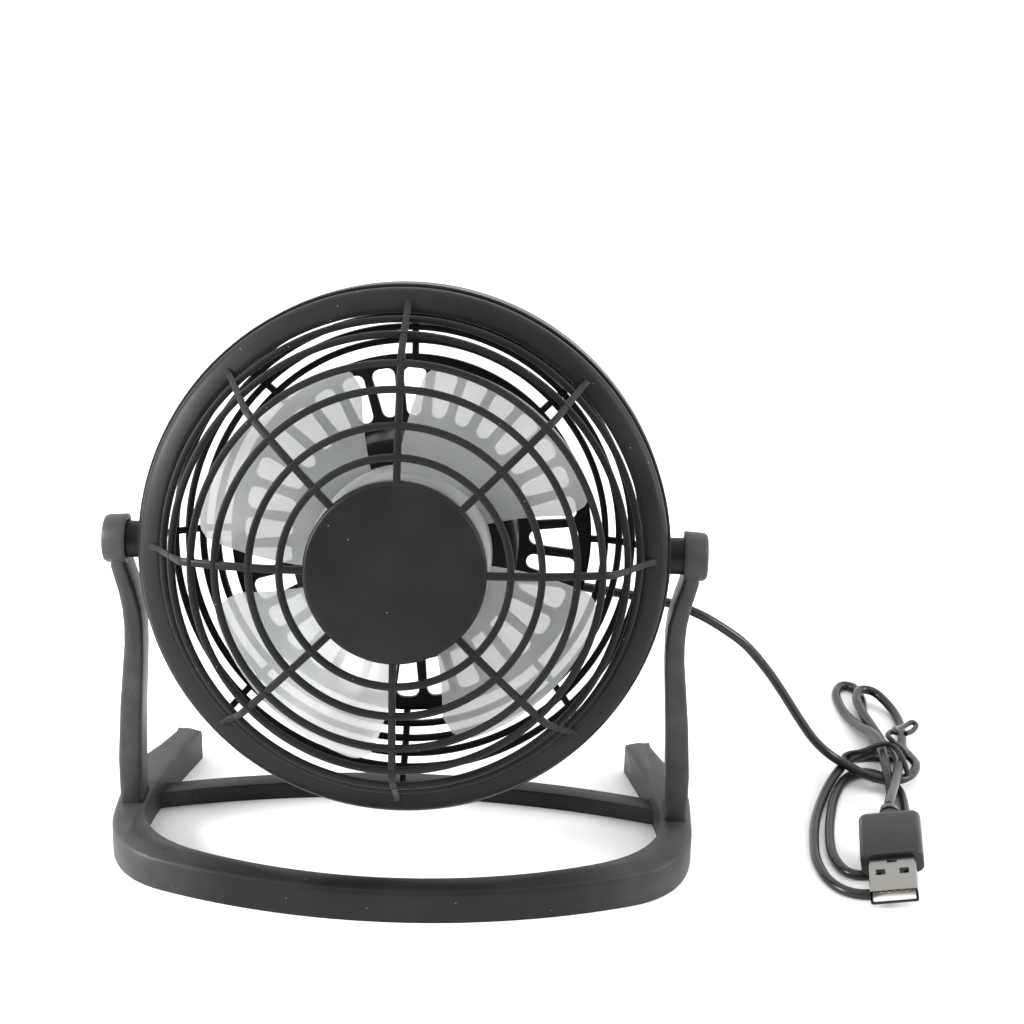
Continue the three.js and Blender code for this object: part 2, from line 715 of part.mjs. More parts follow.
// The hank lies folded on the table: a tall bundle round the tie and low loops beside the plug.
const bundleHeight = 7.4;
const loopHeight = 5.4;
function hank() {
  const outline = (points, height) => {
    const curve = new THREE.CatmullRomCurve3(points.map(([x, y]) => new THREE.Vector3(x, y, 0)), true);
    const ring = curve.getPoints(points.length * 2).slice(0, -1);
    return solid(flat(ring.map((p) => at(p.x, p.y)), height));
  };
  const bundle = outline([
    [123, 93], [130, 91.5], [137, 80], [140.4, 60], [141, 44], [138, 34], [130, 30], [120, 32],
    [115, 39], [116.4, 52], [119, 68], [118.4, 86],
  ], bundleHeight);
  const loops = outline([
    [118, 42], [111, 37], [106.8, 24], [105.6, 4], [107.4, -12], [112, -20.6], [116.4, -21.4],
    [116.8, -8], [116.4, 10], [119, 28], [124, 38],
  ], loopHeight);
  return join([bundle, loops]);
}
part(fan, "cord_hank", hank(), softBlack);

const tieWidth = 3.4;
const tieWall = 1;
const tieLow = bundleHeight + touch;
const tieArch = [
  [115, 0], [114, 0], [114, tieLow + tieWall], [143, tieLow + tieWall], [143, 0], [142, 0],
  [142, tieLow], [115, tieLow],
].map(([x, z]) => at(x, z));
part(fan, "cord_tie", flat(tieArch, tieWidth).rotateX(Math.PI / 2).translate(0, 54.5, 0), softBlack);

const plug = new THREE.Group();
plug.position.copy(plugPlace);
plug.rotation.set(plugPitch, plugRoll, plugYaw, "ZXY");
fan.add(plug);
const roundedBox = (width, height, corner, depth) => {
  const shape = new THREE.Shape();
  const x = width / 2 - corner;
  const y = height / 2 - corner;
  shape.absarc(x, y, corner, 0, Math.PI / 2, false);
  shape.absarc(-x, y, corner, Math.PI / 2, Math.PI, false);
  shape.absarc(-x, -y, corner, Math.PI, 1.5 * Math.PI, false);
  shape.absarc(x, -y, corner, 1.5 * Math.PI, 2 * Math.PI, false);
  const box = new THREE.ExtrudeGeometry(shape, { depth, bevelEnabled: false, curveSegments: 3 });
  return box.rotateX(Math.PI / 2).translate(0, depth, 0); // depth runs along +Y from zero
};
const collarRadius = 2.9;
const collarLength = 5;
const overmould = join([
  solid(roundedBox(plugWidth, plugHeight, 1.6, plugLength)),
  solid(skin(disc(collarRadius, plugLength - 1, plugLength + collarLength, 20))),
]);
part(plug, "plug_overmould", overmould, softBlack);
const shellOuter = roundedBox(plugShellWidth, plugShellHeight, 0.6, plugShellLength);
const shellInner = roundedBox(
  plugShellWidth - 2 * plugShellWall, plugShellHeight - 2 * plugShellWall, 0.4, plugShellLength - 1,
);
const latches = [-1, 1].flatMap((side) =>
  [-1, 1].map((face) => block(2.3, 2.1, 2, side * 2.9, -touch - plugShellLength + 7.4, (face * plugShellHeight) / 2)),
);
part(plug, "plug_shell", cut(solid(shellOuter.translate(0, -plugShellLength - touch, 0)), [
  solid(shellInner.translate(0, -plugShellLength - touch - 0.01, 0)),
  ...latches,
]), steel);
const tongueFront = -plugShellLength - touch + 0.6;
const tongueLength = plugShellLength - 1 - 0.6 - touch;
const tongueWidth = plugShellWidth - 2 * plugShellWall - 2 * running;
const tongueUnder = plugShellWall + touch - plugShellHeight / 2;
const tongueThickness = 1.4;
part(plug, "plug_tongue", new THREE.BoxGeometry(tongueWidth, tongueLength, tongueThickness)
  .translate(0, tongueFront + tongueLength / 2, tongueUnder + tongueThickness / 2), white);
const contactSpacing = 2.2;
[-1.5, -0.5, 0.5, 1.5].forEach((step, i) => {
  const contact = new THREE.BoxGeometry(1, 7.4, 0.25);
  const above = tongueUnder + tongueThickness + touch;
  contact.translate(step * contactSpacing, tongueFront + 0.8 + 3.7, above + 0.125);
  part(plug, `plug_contact_${i + 1}`, contact, gold);
});

export default fan;
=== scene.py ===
"""A small black desk fan with a tilting caged head, four frosted blades and a USB lead."""
import math

import bmesh
import bpy
from mathutils import Matrix, Vector


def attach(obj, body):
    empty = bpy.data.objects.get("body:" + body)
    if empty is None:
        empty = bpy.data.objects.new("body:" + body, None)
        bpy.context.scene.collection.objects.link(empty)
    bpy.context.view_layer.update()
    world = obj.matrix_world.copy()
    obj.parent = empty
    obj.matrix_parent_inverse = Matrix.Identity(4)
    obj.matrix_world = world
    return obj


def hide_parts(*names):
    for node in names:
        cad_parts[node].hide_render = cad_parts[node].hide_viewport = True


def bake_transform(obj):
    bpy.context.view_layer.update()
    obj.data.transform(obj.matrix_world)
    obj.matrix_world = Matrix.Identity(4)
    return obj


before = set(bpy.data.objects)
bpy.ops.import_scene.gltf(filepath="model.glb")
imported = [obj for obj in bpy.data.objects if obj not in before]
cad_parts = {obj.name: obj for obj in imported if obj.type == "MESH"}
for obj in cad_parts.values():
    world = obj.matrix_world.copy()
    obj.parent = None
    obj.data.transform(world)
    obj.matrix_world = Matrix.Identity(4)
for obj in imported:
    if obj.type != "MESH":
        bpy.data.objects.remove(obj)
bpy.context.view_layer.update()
mm = 0.001

# ---- Camera: a little above the fan, looking down at it through a long lens ----
# It stands about 0.55 m in front, and its turns are in degrees.
camera_place = (0.03688, -0.54916, 0.33594)
camera_pan, camera_dip, camera_roll = 1.035, -23.618, -1.398
camera_data = bpy.data.cameras.new("camera")
camera_data.lens = 85.84
camera_data.sensor_width = 36
camera_data.shift_x = -0.0020
camera_data.shift_y = -0.0020
camera_data.clip_end = 20
camera = bpy.data.objects.new("camera", camera_data)
camera.matrix_world = (
    Matrix.Translation(camera_place)
    @ Matrix.Rotation(math.radians(camera_pan), 4, "Z")
    @ Matrix.Rotation(math.radians(camera_dip), 4, "X")
    @ Matrix.Rotation(math.radians(camera_roll), 4, "Y")
    @ Matrix.Rotation(math.radians(90), 4, "X")
)
bpy.context.scene.collection.objects.link(camera)
bpy.context.scene.camera = camera

# ---- Lead: thin round vinyl cable, soft and slightly shiny ----
# It leaves the back of the head, drops to the table and lies there as a tied hank.
# The vinyl is extruded over two cores, so its skin is smooth with a faint unevenness.


def node(tree, kind, place, **values):
    """A new shader node at that place on the sheet, with its own settings."""
    made = tree.nodes.new(kind)
    made.location = place
    for name, value in values.items():
        setattr(made, name, value)
    return made


def surface_wear_group():
    """Fine moulded grain, broad cloudiness and a few dust specks, as three masks from 0 to 1."""
    group = bpy.data.node_groups.new("Moulded surface", "ShaderNodeTree")
    for name, default in (("Grain size", 2200.0), ("Cloud size", 45.0), ("Speck amount", 0.5)):
        socket = group.interface.new_socket(name, in_out="INPUT", socket_type="NodeSocketFloat")
        socket.default_value = default
    for name in ("Grain", "Cloud", "Specks"):
        group.interface.new_socket(name, in_out="OUTPUT", socket_type="NodeSocketFloat")
    start = node(group, "NodeGroupInput", (-900, 0))
    end = node(group, "NodeGroupOutput", (500, 0))
    coordinates = node(group, "ShaderNodeTexCoord", (-900, -300))
    grain = node(group, "ShaderNodeTexNoise", (-500, 200))
    grain.inputs["Detail"].default_value = 2
    cloud = node(group, "ShaderNodeTexNoise", (-500, -50))
    cloud.inputs["Detail"].default_value = 4
    dust = node(group, "ShaderNodeTexVoronoi", (-500, -300))
    dust.inputs["Scale"].default_value = 640
    dust.inputs["Randomness"].default_value = 1
    dot = node(group, "ShaderNodeMath", (-250, -300), operation="LESS_THAN")
    dot.inputs[1].default_value = 0.08
    pick = node(group, "ShaderNodeSeparateColor", (-250, -480))
    chosen = node(group, "ShaderNodeMath", (-50, -480), operation="LESS_THAN")
    speck = node(group, "ShaderNodeMath", (150, -350), operation="MULTIPLY")
    link = group.links.new
    for texture in (grain, cloud, dust):
        link(coordinates.outputs["Object"], texture.inputs["Vector"])
    link(start.outputs["Grain size"], grain.inputs["Scale"])
    link(start.outputs["Cloud size"], cloud.inputs["Scale"])
    link(dust.outputs["Distance"], dot.inputs[0])
    link(dust.outputs["Color"], pick.inputs["Color"])
    link(pick.outputs["Red"], chosen.inputs[0])
    link(start.outputs["Speck amount"], chosen.inputs[1])
    link(dot.outputs["Value"], speck.inputs[0])
    link(chosen.outputs["Value"], speck.inputs[1])
    link(grain.outputs["Fac"], end.inputs["Grain"])
    link(cloud.outputs["Fac"], end.inputs["Cloud"])
    link(speck.outputs["Value"], end.inputs["Specks"])
    return group


moulded_surface = surface_wear_group()


def plastic(name, dark, light, rough, grain, depth, specks=0.0, shine=0.5):
    """A moulded plastic whose colour runs from dark to light in soft clouds.

    rough is its lowest and highest roughness, grain and depth the fineness and height of its
    skin's grain, and specks the share of places that hold a grain of dust.
    """
    made = bpy.data.materials.new(name)
    made.use_nodes = True
    tree = made.node_tree
    shader = tree.nodes["Principled BSDF"]
    shader.inputs["Specular IOR Level"].default_value = shine
    masks = node(tree, "ShaderNodeGroup", (-900, 0), node_tree=moulded_surface)
    masks.inputs["Grain size"].default_value = grain
    masks.inputs["Speck amount"].default_value = specks
    colours = node(tree, "ShaderNodeValToRGB", (-650, 250))
    colours.color_ramp.elements[0].position = 0.35
    colours.color_ramp.elements[0].color = (*dark, 1)
    colours.color_ramp.elements[1].position = 0.68
    colours.color_ramp.elements[1].color = (*light, 1)
    dusty = node(tree, "ShaderNodeMix", (-300, 250), data_type="RGBA")
    dusty.inputs["B"].default_value = (0.24, 0.24, 0.235, 1)
    roughness = node(tree, "ShaderNodeMapRange", (-650, -50))
    roughness.inputs["From Min"].default_value = 0.3
    roughness.inputs["From Max"].default_value = 0.7
    roughness.inputs["To Min"].default_value = rough[0]
    roughness.inputs["To Max"].default_value = rough[1]
    bump = node(tree, "ShaderNodeBump", (-300, -250))
    bump.inputs["Distance"].default_value = depth
    link = tree.links.new
    link(masks.outputs["Cloud"], colours.inputs["Fac"])
    link(colours.outputs["Color"], dusty.inputs["A"])
    link(masks.outputs["Specks"], dusty.inputs["Factor"])
    link(dusty.outputs["Result"], shader.inputs["Base Color"])
    link(masks.outputs["Cloud"], roughness.inputs["Value"])
    link(roughness.outputs["Result"], shader.inputs["Roughness"])
    link(masks.outputs["Grain"], bump.inputs["Height"])
    link(bump.outputs["Normal"], shader.inputs["Normal"])
    return made


def smooth_route(points, between=8):
    """Points closer together on one smooth curve through the given ones."""
    ends = [2 * points[0] - points[1], *points, 2 * points[-1] - points[-2]]
    route = []
    for a, b, c, d in zip(ends, ends[1:], ends[2:], ends[3:]):
        for step in range(between):
            t = step / between
            route.append(
                0.5 * (2 * b + (c - a) * t + (2 * a - 5 * b + 4 * c - d) * t**2
                       + (3 * b - a - 3 * c + d) * t**3)
            )
    return [*route, points[-1]]


def finished_mesh(thing):
    """The mesh of a curve with its thickness, or of a piece with its modifiers worked in."""
    bpy.context.view_layer.update()
    made = thing.evaluated_get(bpy.context.evaluated_depsgraph_get())
    return bpy.data.meshes.new_from_object(made)


def round_strand(name, route, radius, sides=4):
    """A round strand along a route, made as a curve and turned into a mesh."""
    line = bpy.data.curves.new(name, "CURVE")
    line.dimensions = "3D"
    line.bevel_depth = radius
    line.bevel_resolution = sides
    line.use_fill_caps = True
    spline = line.splines.new("POLY")
    spline.points.add(len(route) - 1)
    for point, place in zip(spline.points, route):
        point.co = (*place, 1)
    source = bpy.data.objects.new(name + " line", line)
    bpy.context.scene.collection.objects.link(source)
    mesh = finished_mesh(source)
    bpy.data.objects.remove(source)
    bpy.data.curves.remove(line)
    mesh.name = name
    mesh.materials.clear()
    mesh.shade_smooth()
    strand = bpy.data.objects.new(name, mesh)
    bpy.context.scene.collection.objects.link(strand)
    return strand


vinyl = plastic(
    "Black vinyl", dark=(0.011, 0.011, 0.0118), light=(0.018, 0.018, 0.019), rough=(0.26, 0.36),
    grain=900, depth=0.01 * mm, specks=0.01, shine=0.35,
)
lead_width = 2.6 * mm
lead_points = [Vector(p) * mm for p in (
    # free stretch, from the gland round the head's right side and down
    (0, 26.3, 60.85), (0.1, 29.6, 59.9), (2.4, 34.9, 58.6), (10, 40.3, 57.6), (22, 42.3, 57.4),
    (36, 41.3, 57.2), (52, 38.1, 56.4), (66.5, 35.3, 55.2), (75.4, 34.3, 52.6), (83, 34.7, 48),
    (89.4, 35.7, 42.6), (95.4, 36.9, 35), (100.2, 38.1, 27.6), (105.2, 39.1, 19.4),
    (109.8, 39.9, 12.6), (114.6, 40.8, 7.6), (119.4, 40.2, 4.9),
    # small right loop, then the right back loop
    (124, 37, 4), (128.6, 34.4, 4), (133.4, 34.6, 4), (137.2, 38.2, 4), (138.9, 44, 3.6),
    (138.2, 50.4, 2.4), (137, 57, 1.4), (137.6, 64.5, 1.4), (137.8, 72.5, 1.4), (136.2, 80, 1.9),
    (132.2, 86.2, 3.4), (127.8, 86, 4.3), (126.2, 80, 4.2), (127.2, 72, 4.1), (129, 64, 4.1),
    (130.6, 56, 4.1), (129.2, 50.6, 4.2), (125, 47.6, 4.2), (120.2, 44.2, 4),
    # outer front turn, under the plug and back
    (115.6, 37, 2.6), (112, 28, 1.5), (109.2, 17, 1.35), (107.8, 6, 1.35), (107.6, -4, 1.35),
    (109.8, -13.4, 1.35), (114.6, -18.9, 1.35), (121, -19.2, 1.35), (126.4, -14.6, 1.35),
    (129.6, -6, 1.35), (131.4, 4, 1.35), (132.8, 14, 1.35), (133.6, 24, 1.35), (133.2, 33, 1.35),
    (129.8, 40.2, 1.4), (124.2, 42.4, 1.4), (119, 38.4, 1.4),
    # inner front turn, over the others and through the tie
    (115.4, 29, 1.35), (113.2, 18, 1.35), (112, 7, 1.35), (112.2, -2, 1.35), (114.8, -9, 1.35),
    (119.2, -10.6, 1.35), (123.6, -7.4, 1.35), (126.4, 0, 1.35), (128.2, 9, 1.35), (129.4, 18, 1.8),
    (130, 26, 4.2), (129.6, 34, 6.7), (129.4, 42, 6.9), (129.2, 50, 6.9), (128, 57, 6),
    # left back loop
    (125.6, 65, 3.6), (123.4, 73, 1.9), (121.6, 81.6, 1.35), (121.2, 89, 1.35), (123.4, 94, 1.35),
    (127, 92.6, 1.35), (128.3, 85.6, 1.35), (128, 77, 1.35), (128.9, 68.4, 1.35), (131.6, 60, 1.4),
    # up over the others to the plug
    (133.8, 53, 2.2), (134, 46, 4), (133.4, 39, 6.7), (131.8, 31, 7.4), (129.8, 22, 8.6),
    (128, 14.5, 9.9), (127, 9.4, 10.4),
)]
lead_route = smooth_route(lead_points)
lead = round_strand("lead", lead_route, lead_width / 2)
lead.data.materials.append(vinyl)
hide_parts("cord", "cord_hank")
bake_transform(lead)

# ---- Tie: a thin wire in black vinyl, twisted round the hank by hand ----
# One wire goes round the strands at their waist and its ends are twisted over each other.
# The longer end stands off to the back.
tie_width = 1.5 * mm
tie_loop = smooth_route([Vector(p) * mm for p in (
    (135.6, 34.6, 5.4), (134.4, 38.6, 7.8), (132.9, 42.4, 9.2), (130.6, 44.4, 9.6), (127.4, 44.4, 8.9),
    (123.8, 43.4, 7.6), (120.4, 44.6, 6), (119.4, 47.4, 3.4), (121.4, 50.4, 0.9), (127, 51.6, 0.8),
    (133, 51.4, 0.8), (136.1, 50, 1.6), (136.3, 48.2, 4.6), (134.6, 46.4, 7.8), (132.2, 44.8, 10.2),
    (130.9, 47, 10.8), (132.4, 49.6, 10.6), (133.6, 47.6, 11.4), (133.2, 50.6, 11), (134.6, 54.2, 9.2),
    (137.2, 58.4, 7.8), (139.6, 61.4, 7.4), (140.7, 60.2, 7), (139.2, 57, 7), (137, 54.6, 7.4),
)])
tie = round_strand("tie", tie_loop, tie_width / 2, sides=3)
tie.data.materials.append(vinyl)
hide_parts("cord_tie")
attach(tie, "base")

# ---- Plug: black overmould with a short sleeve for the lead, and a bright folded steel shell ----
# The overmould is moulded straight on to the lead. The shell is one folded sheet with square
# catches cut through its top and bottom, and holds a pale tongue with four plated contacts.
plug_place = (
    Matrix.Translation(Vector((125.7, -13.1, 6.6)) * mm)
    @ Matrix.Rotation(math.radians(-3.3), 4, "Z")
    @ Matrix.Rotation(math.radians(9.5), 4, "X")
    @ Matrix.Rotation(math.radians(-11), 4, "Y")
)


def soften(bm, width, steps=2, angle=30):
    """Rounds every edge that is sharper than the angle."""
    least = math.radians(angle)
    sharp = [e for e in bm.edges if len(e.link_faces) == 2 and e.calc_face_angle(0) > least]
    bmesh.ops.bevel(
        bm, geom=sharp, offset=width, offset_type="OFFSET", affect="EDGES", segments=steps,
        profile=0.5, material=-1, clamp_overlap=True,
    )


def smooth_over(mesh, angle=35):
    """Shades a mesh smooth and keeps the edges past that angle crisp."""
    mesh.shade_smooth()
    mesh.set_sharp_from_angle(angle=math.radians(angle))


def put(name, bm, body, finish, replaces=(), place=None, outward=True):
    """Turns a bmesh into a finished piece that moves with a body."""
    if outward:
        bmesh.ops.recalc_face_normals(bm, faces=bm.faces)
    if place is not None:
        bmesh.ops.transform(bm, matrix=place, verts=bm.verts)
    mesh = bpy.data.meshes.new(name)
    bm.to_mesh(mesh)
    bm.free()
    mesh.materials.append(finish)
    smooth_over(mesh)
    piece = bpy.data.objects.new(name, mesh)
    bpy.context.scene.collection.objects.link(piece)
    if replaces:
        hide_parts(*replaces)
    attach(piece, body)
    return piece


def box_in(bm, size, centre):
    """A plain block of that size about a centre."""
    made = bmesh.ops.create_cube(bm, size=1)["verts"]
    bmesh.ops.scale(bm, vec=Vector(size), verts=made)
    bmesh.ops.translate(bm, vec=Vector(centre), verts=made)


def turned(bm, profile, steps):
    """Spins a profile of (radius, depth) points about Y. A profile off the axis is a closed ring."""
    points = [bm.verts.new((radius, depth, 0)) for radius, depth in profile]
    pairs = list(zip(points, points[1:]))
    if profile[0][0] > 0 or profile[-1][0] > 0:
        pairs.append((points[-1], points[0]))
    lines = [bm.edges.new(pair) for pair in pairs]
    before = set(bm.verts) - set(points)
    bmesh.ops.spin(
        bm, geom=points + lines, cent=(0, 0, 0), axis=(0, 1, 0), angle=2 * math.pi, steps=steps,
        use_merge=True,
    )
    made = [v for v in bm.verts if v not in before]
    bmesh.ops.remove_doubles(bm, verts=made, dist=1e-6)


def round_edges(bm, edges, width, steps):
    """Rounds just these edges."""
    bmesh.ops.bevel(
        bm, geom=edges, offset=width, affect="EDGES", segments=steps, profile=0.5, material=-1,
    )


def lengthwise(bm, length):
    """The edges that run along Y for most of that length."""
    return [e for e in bm.edges if abs(e.verts[0].co.y - e.verts[1].co.y) > length / 2]


plug_width, plug_height, plug_length = 16 * mm, 7.4 * mm, 17 * mm
bm = bmesh.new()
box_in(bm, (plug_width, plug_length, plug_height), (0, plug_length / 2, 0))
round_edges(bm, lengthwise(bm, plug_length), 2.2 * mm, 6)
back_rim = [e for e in bm.edges if all(v.co.y > plug_length - 1e-6 for v in e.verts)]
round_edges(bm, back_rim, 1.6 * mm, 4)
front_rim = [e for e in bm.edges if all(v.co.y < 1e-6 for v in e.verts)]
round_edges(bm, front_rim, 0.5 * mm, 2)
sleeve = [(0, -1), (3.3, -1), (3.2, 0.9), (2.7, 1.3), (2.1, 1.5), (2.1, 2.3), (2.6, 2.6), (2.3, 4.4),
          (1.8, 5), (0, 5)]
turned(bm, [(radius * mm, plug_length + past * mm) for radius, past in sleeve], 32)
plug_body = put("plug_body", bm, "base", vinyl, ["plug_overmould"], plug_place)


def metal(name, colour, rough=(0.2, 0.34)):
    """Bare or plated metal with soft patches of duller plating."""
    duller = tuple(c * 0.86 for c in colour)
    made = plastic(name, duller, colour, rough, grain=700, depth=0.008 * mm)
    made.node_tree.nodes["Principled BSDF"].inputs["Metallic"].default_value = 1
    return made


bright_steel = metal("Bright plated steel", (0.25, 0.247, 0.232))
shell_width, shell_height, shell_length, shell_wall = 12 * mm, 4.5 * mm, 12 * mm, 0.4 * mm
shell_front = -shell_length - 0.3 * mm


def cut_out(piece, cutter_bm, place, angle=35):
    """Cuts a shape out of a piece, then moves what is left to its place."""
    mesh = bpy.data.meshes.new("cutter")
    cutter_bm.to_mesh(mesh)
    cutter_bm.free()
    cutter = bpy.data.objects.new("cutter", mesh)
    bpy.context.scene.collection.objects.link(cutter)
    work = piece.modifiers.new("cut", "BOOLEAN")
    work.operation = "DIFFERENCE"
    work.solver = "EXACT"
    work.use_self = True
    work.object = cutter
    result = finished_mesh(piece)
    piece.modifiers.clear()
    piece.data = result
    bpy.data.objects.remove(cutter)
    piece.data.transform(place)
    smooth_over(piece.data, angle)


bm = bmesh.new()
box_in(bm, (shell_width, shell_length, shell_height), (0, shell_front + shell_length / 2, 0))
round_edges(bm, lengthwise(bm, shell_length), 0.7 * mm, 4)
mouth = [f for f in bm.faces if all(v.co.y < shell_front + 1e-6 for v in f.verts)]
bmesh.ops.inset_region(bm, faces=mouth, thickness=shell_wall, use_even_offset=True)
mouth_points = list({v for f in mouth for v in f.verts})
bmesh.ops.translate(bm, vec=(0, shell_length - 0.8 * mm, 0), verts=mouth_points)
plug_shell = put("plug_shell_bright", bm, "base", bright_steel, ["plug_shell"])
catch_size, seam_notch_size = (2.4 * mm, 2.1 * mm, 1.6 * mm), (2.6 * mm, 1.1 * mm, 1.2 * mm)
catch_aside, catch_depth = 2.95 * mm, 6.9 * mm
catches = bmesh.new()
for side in (-1, 1):
    for face in (-1, 1):
        centre = (side * catch_aside, shell_front + catch_depth, face * shell_height / 2)
        box_in(catches, catch_size, centre)
box_in(catches, seam_notch_size, (0, -1.5 * mm, shell_height / 2))
cut_out(plug_shell, catches, plug_place)

grey_plastic = plastic(
    "Pale grey plastic", dark=(0.62, 0.62, 0.61), light=(0.7, 0.7, 0.69), rough=(0.35, 0.5),
    grain=900, depth=0.01 * mm,
)
brass = metal("Plated brass", (0.8, 0.6, 0.28))


def keep_with(finish, *names):
    """Gives CAD nodes that stay as they are their own finish."""
    for name in names:
        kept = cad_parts[name]
        kept.data.materials.clear()
        kept.data.materials.append(finish)


tongue_size, tongue_set_back, tongue_middle = (10.8 * mm, 11 * mm, 1.35 * mm), 0.3 * mm, -1 * mm
bm = bmesh.new()
box_in(bm, tongue_size, (0, shell_front + tongue_set_back + tongue_size[1] / 2, tongue_middle))
soften(bm, 0.15 * mm)
tongue = put("tongue_block", bm, "base", grey_plastic, ["plug_tongue"], plug_place)
contacts = [f"plug_contact_{number}" for number in (1, 2, 3, 4)]
keep_with(brass, *contacts)

# ---- Stand: one black moulding of bowed base, crossbar, two arms and two pivot knobs ----
# Injection moulded in ABS with a satin skin. Its outer top edge is a broad chamfer, and the
# knobs at the arms' tops hold the head by two blind sockets.
black_low, black_high = (0.0075, 0.0077, 0.0083), (0.0125, 0.0129, 0.0137)
satin_black = plastic(
    "Satin black plastic", dark=black_low, light=black_high, rough=(0.38, 0.52),
    grain=2400, depth=0.02 * mm, specks=0.1, shine=0.17,
)
pivot = Vector((0, 4.7, 82.6)) * mm
half_base, base_height = 75 * mm, 9.2 * mm


def arc(centre_y, radius, end_x, count):
    """Points on a shallow arc about a centre on the Y axis, from the middle out to the right."""
    reach = math.asin(end_x / radius)
    return [(radius * math.sin(reach * i / count), centre_y - radius * math.cos(reach * i / count))
            for i in range(count + 1)]


def swing(start, pull, end, count=10):
    """Points on a corner curve, without its first one."""
    made = []
    for i in range(1, count + 1):
        t = i / count
        shares = ((1 - t) ** 2, 2 * t * (1 - t), t * t)
        made.append(tuple(sum(part * at for part, at in zip(shares, places))
                          for places in zip(start, pull, end)))
    return made


def thicken(bm, faces, by):
    """Draws faces out by a step into a closed plate, and gives the points of its new side."""
    grown = bmesh.ops.extrude_face_region(bm, geom=faces)["geom"]
    new_side = [v for v in grown if isinstance(v, bmesh.types.BMVert)]
    bmesh.ops.translate(bm, vec=by, verts=new_side)
    return new_side


def slab(bm, outline, height, place=None):
    """A flat plate of that outline, from zero up to its height."""
    bottom = [bm.verts.new((x, y, 0)) for x, y in outline]
    top = thicken(bm, [bm.faces.new(bottom)], (0, 0, height))
    if place is not None:
        bmesh.ops.transform(bm, matrix=place, verts=bottom + top)


bow_end, bow_slope = 59 * mm, 0.383
bow = arc(127 * mm, 165 * mm, bow_end, 16)
corner = (half_base, bow[-1][1] + bow_slope * (half_base - bow_end))
outer = bow + swing(bow[-1], corner, (half_base, -1.3 * mm), 12)
outer += [(half_base, 10.7 * mm)]
outer += swing(outer[-1], (half_base, 22 * mm), (half_base - 6.2 * mm, 32.4 * mm), 8)
outer += [(half_base - 9.4 * mm, 40 * mm)]
outer += swing(outer[-1], (half_base - 10.6 * mm, 43 * mm), (half_base - 13.8 * mm, 42.2 * mm), 8)
outer += [(half_base - 16.8 * mm, 40.8 * mm)]
bow_in_end, bow_in_slope = 49 * mm, 0.386
bow_in = arc(104.4 * mm, 136 * mm, bow_in_end, 14)
rail_in = half_base - 8 * mm
corner = (rail_in, bow_in[-1][1] + bow_in_slope * (rail_in - bow_in_end))
inner = bow_in + swing(bow_in[-1], corner, (rail_in, 0.7 * mm))
inner += swing(inner[-1], (rail_in, 8 * mm), (half_base - 13 * mm, 27.8 * mm), 8)
right_half = outer + inner[::-1]
outline = right_half + [(-x, y) for x, y in right_half[-2:0:-1]]

bm = bmesh.new()
slab(bm, outline, base_height)
outer_points = {(round(abs(x), 6), round(y, 6)) for x, y in outer}
top_points = {v for v in bm.verts if v.co.z > base_height - 1e-6
              and (round(abs(v.co.x), 6), round(v.co.y, 6)) in outer_points}
round_edges(bm, [e for e in bm.edges if top_points.issuperset(e.verts)], 1.5 * mm, 2)
soften(bm, 0.3 * mm, 2, 40)

bar_end, bar_middle, bar_bow = 68.5 * mm, 22.7 * mm, 10.8 * mm
bar_front = [(bar_end * share, bar_middle - bar_bow * share**2)
             for share in (i / 12 - 1 for i in range(25))]
bar_back = [(x, y + 5.4 * mm) for x, y in bar_front]
bar = bmesh.new()
slab(bar, bar_front + bar_back[::-1], 4.8 * mm)
soften(bar, 0.45 * mm, 3, 40)

stand_pieces = [bm, bar]
foot, arm_depth, arm_back, knob_inner = 73.7 * mm, 10 * mm, 9.7 * mm, 69.4 * mm
quarter_up = Matrix.Rotation(math.radians(90), 4, "X")
# the arm's outline from its outer foot up and back down: how far in from the foot, and height
arm_line = [
    (0, 1), (0, 22), (1, 37), (2.1, 48), (2.8, 55), (2.95, 60), (2.7, 65), (1.9, 70), (0.3, 76.6),
    (0.3, 81), (3.9, 81), (4.3, 77), (6, 71), (7.4, 65), (7.8, 60), (7.7, 52), (7.2, 44), (6.6, 34),
    (6.2, 24), (5.6, 1),
]
for side in (-1, 1):
    arm = bmesh.new()
    upright = Matrix.Translation((0, arm_back, 0)) @ quarter_up
    slab(arm, [(side * (foot - x * mm), z * mm) for x, z in arm_line], arm_depth, upright)
    bmesh.ops.recalc_face_normals(arm, faces=arm.faces)
    soften(arm, 1.1 * mm, 3, 50)
    knob = bmesh.new()
    turned(knob, [
        (0, 4.4 * mm), (5 * mm, 4.4 * mm), (5 * mm, 0.3 * mm), (5.3 * mm, 0), (6.2 * mm, 0),
        (6.35 * mm, 0.35 * mm), (6.3 * mm, 1.1 * mm), (6.05 * mm, 4.9 * mm), (5.6 * mm, 5.7 * mm),
        (4.8 * mm, 6 * mm), (0, 6.05 * mm),
    ], 64)
    turn = Matrix.Rotation(math.radians(-side * 90), 4, "Z")
    out = Matrix.Translation((side * knob_inner, pivot.y, pivot.z)) @ turn
    bmesh.ops.transform(knob, matrix=out, verts=knob.verts)
    stand_pieces += [arm, knob]


def gather(parts):
    """One bmesh from several closed ones, each with its faces pointing out."""
    whole = bmesh.new()
    for part in parts:
        bmesh.ops.recalc_face_normals(part, faces=part.faces)
        mesh = bpy.data.meshes.new("part")
        part.to_mesh(mesh)
        part.free()
        whole.from_mesh(mesh)
        bpy.data.meshes.remove(mesh)
    return whole


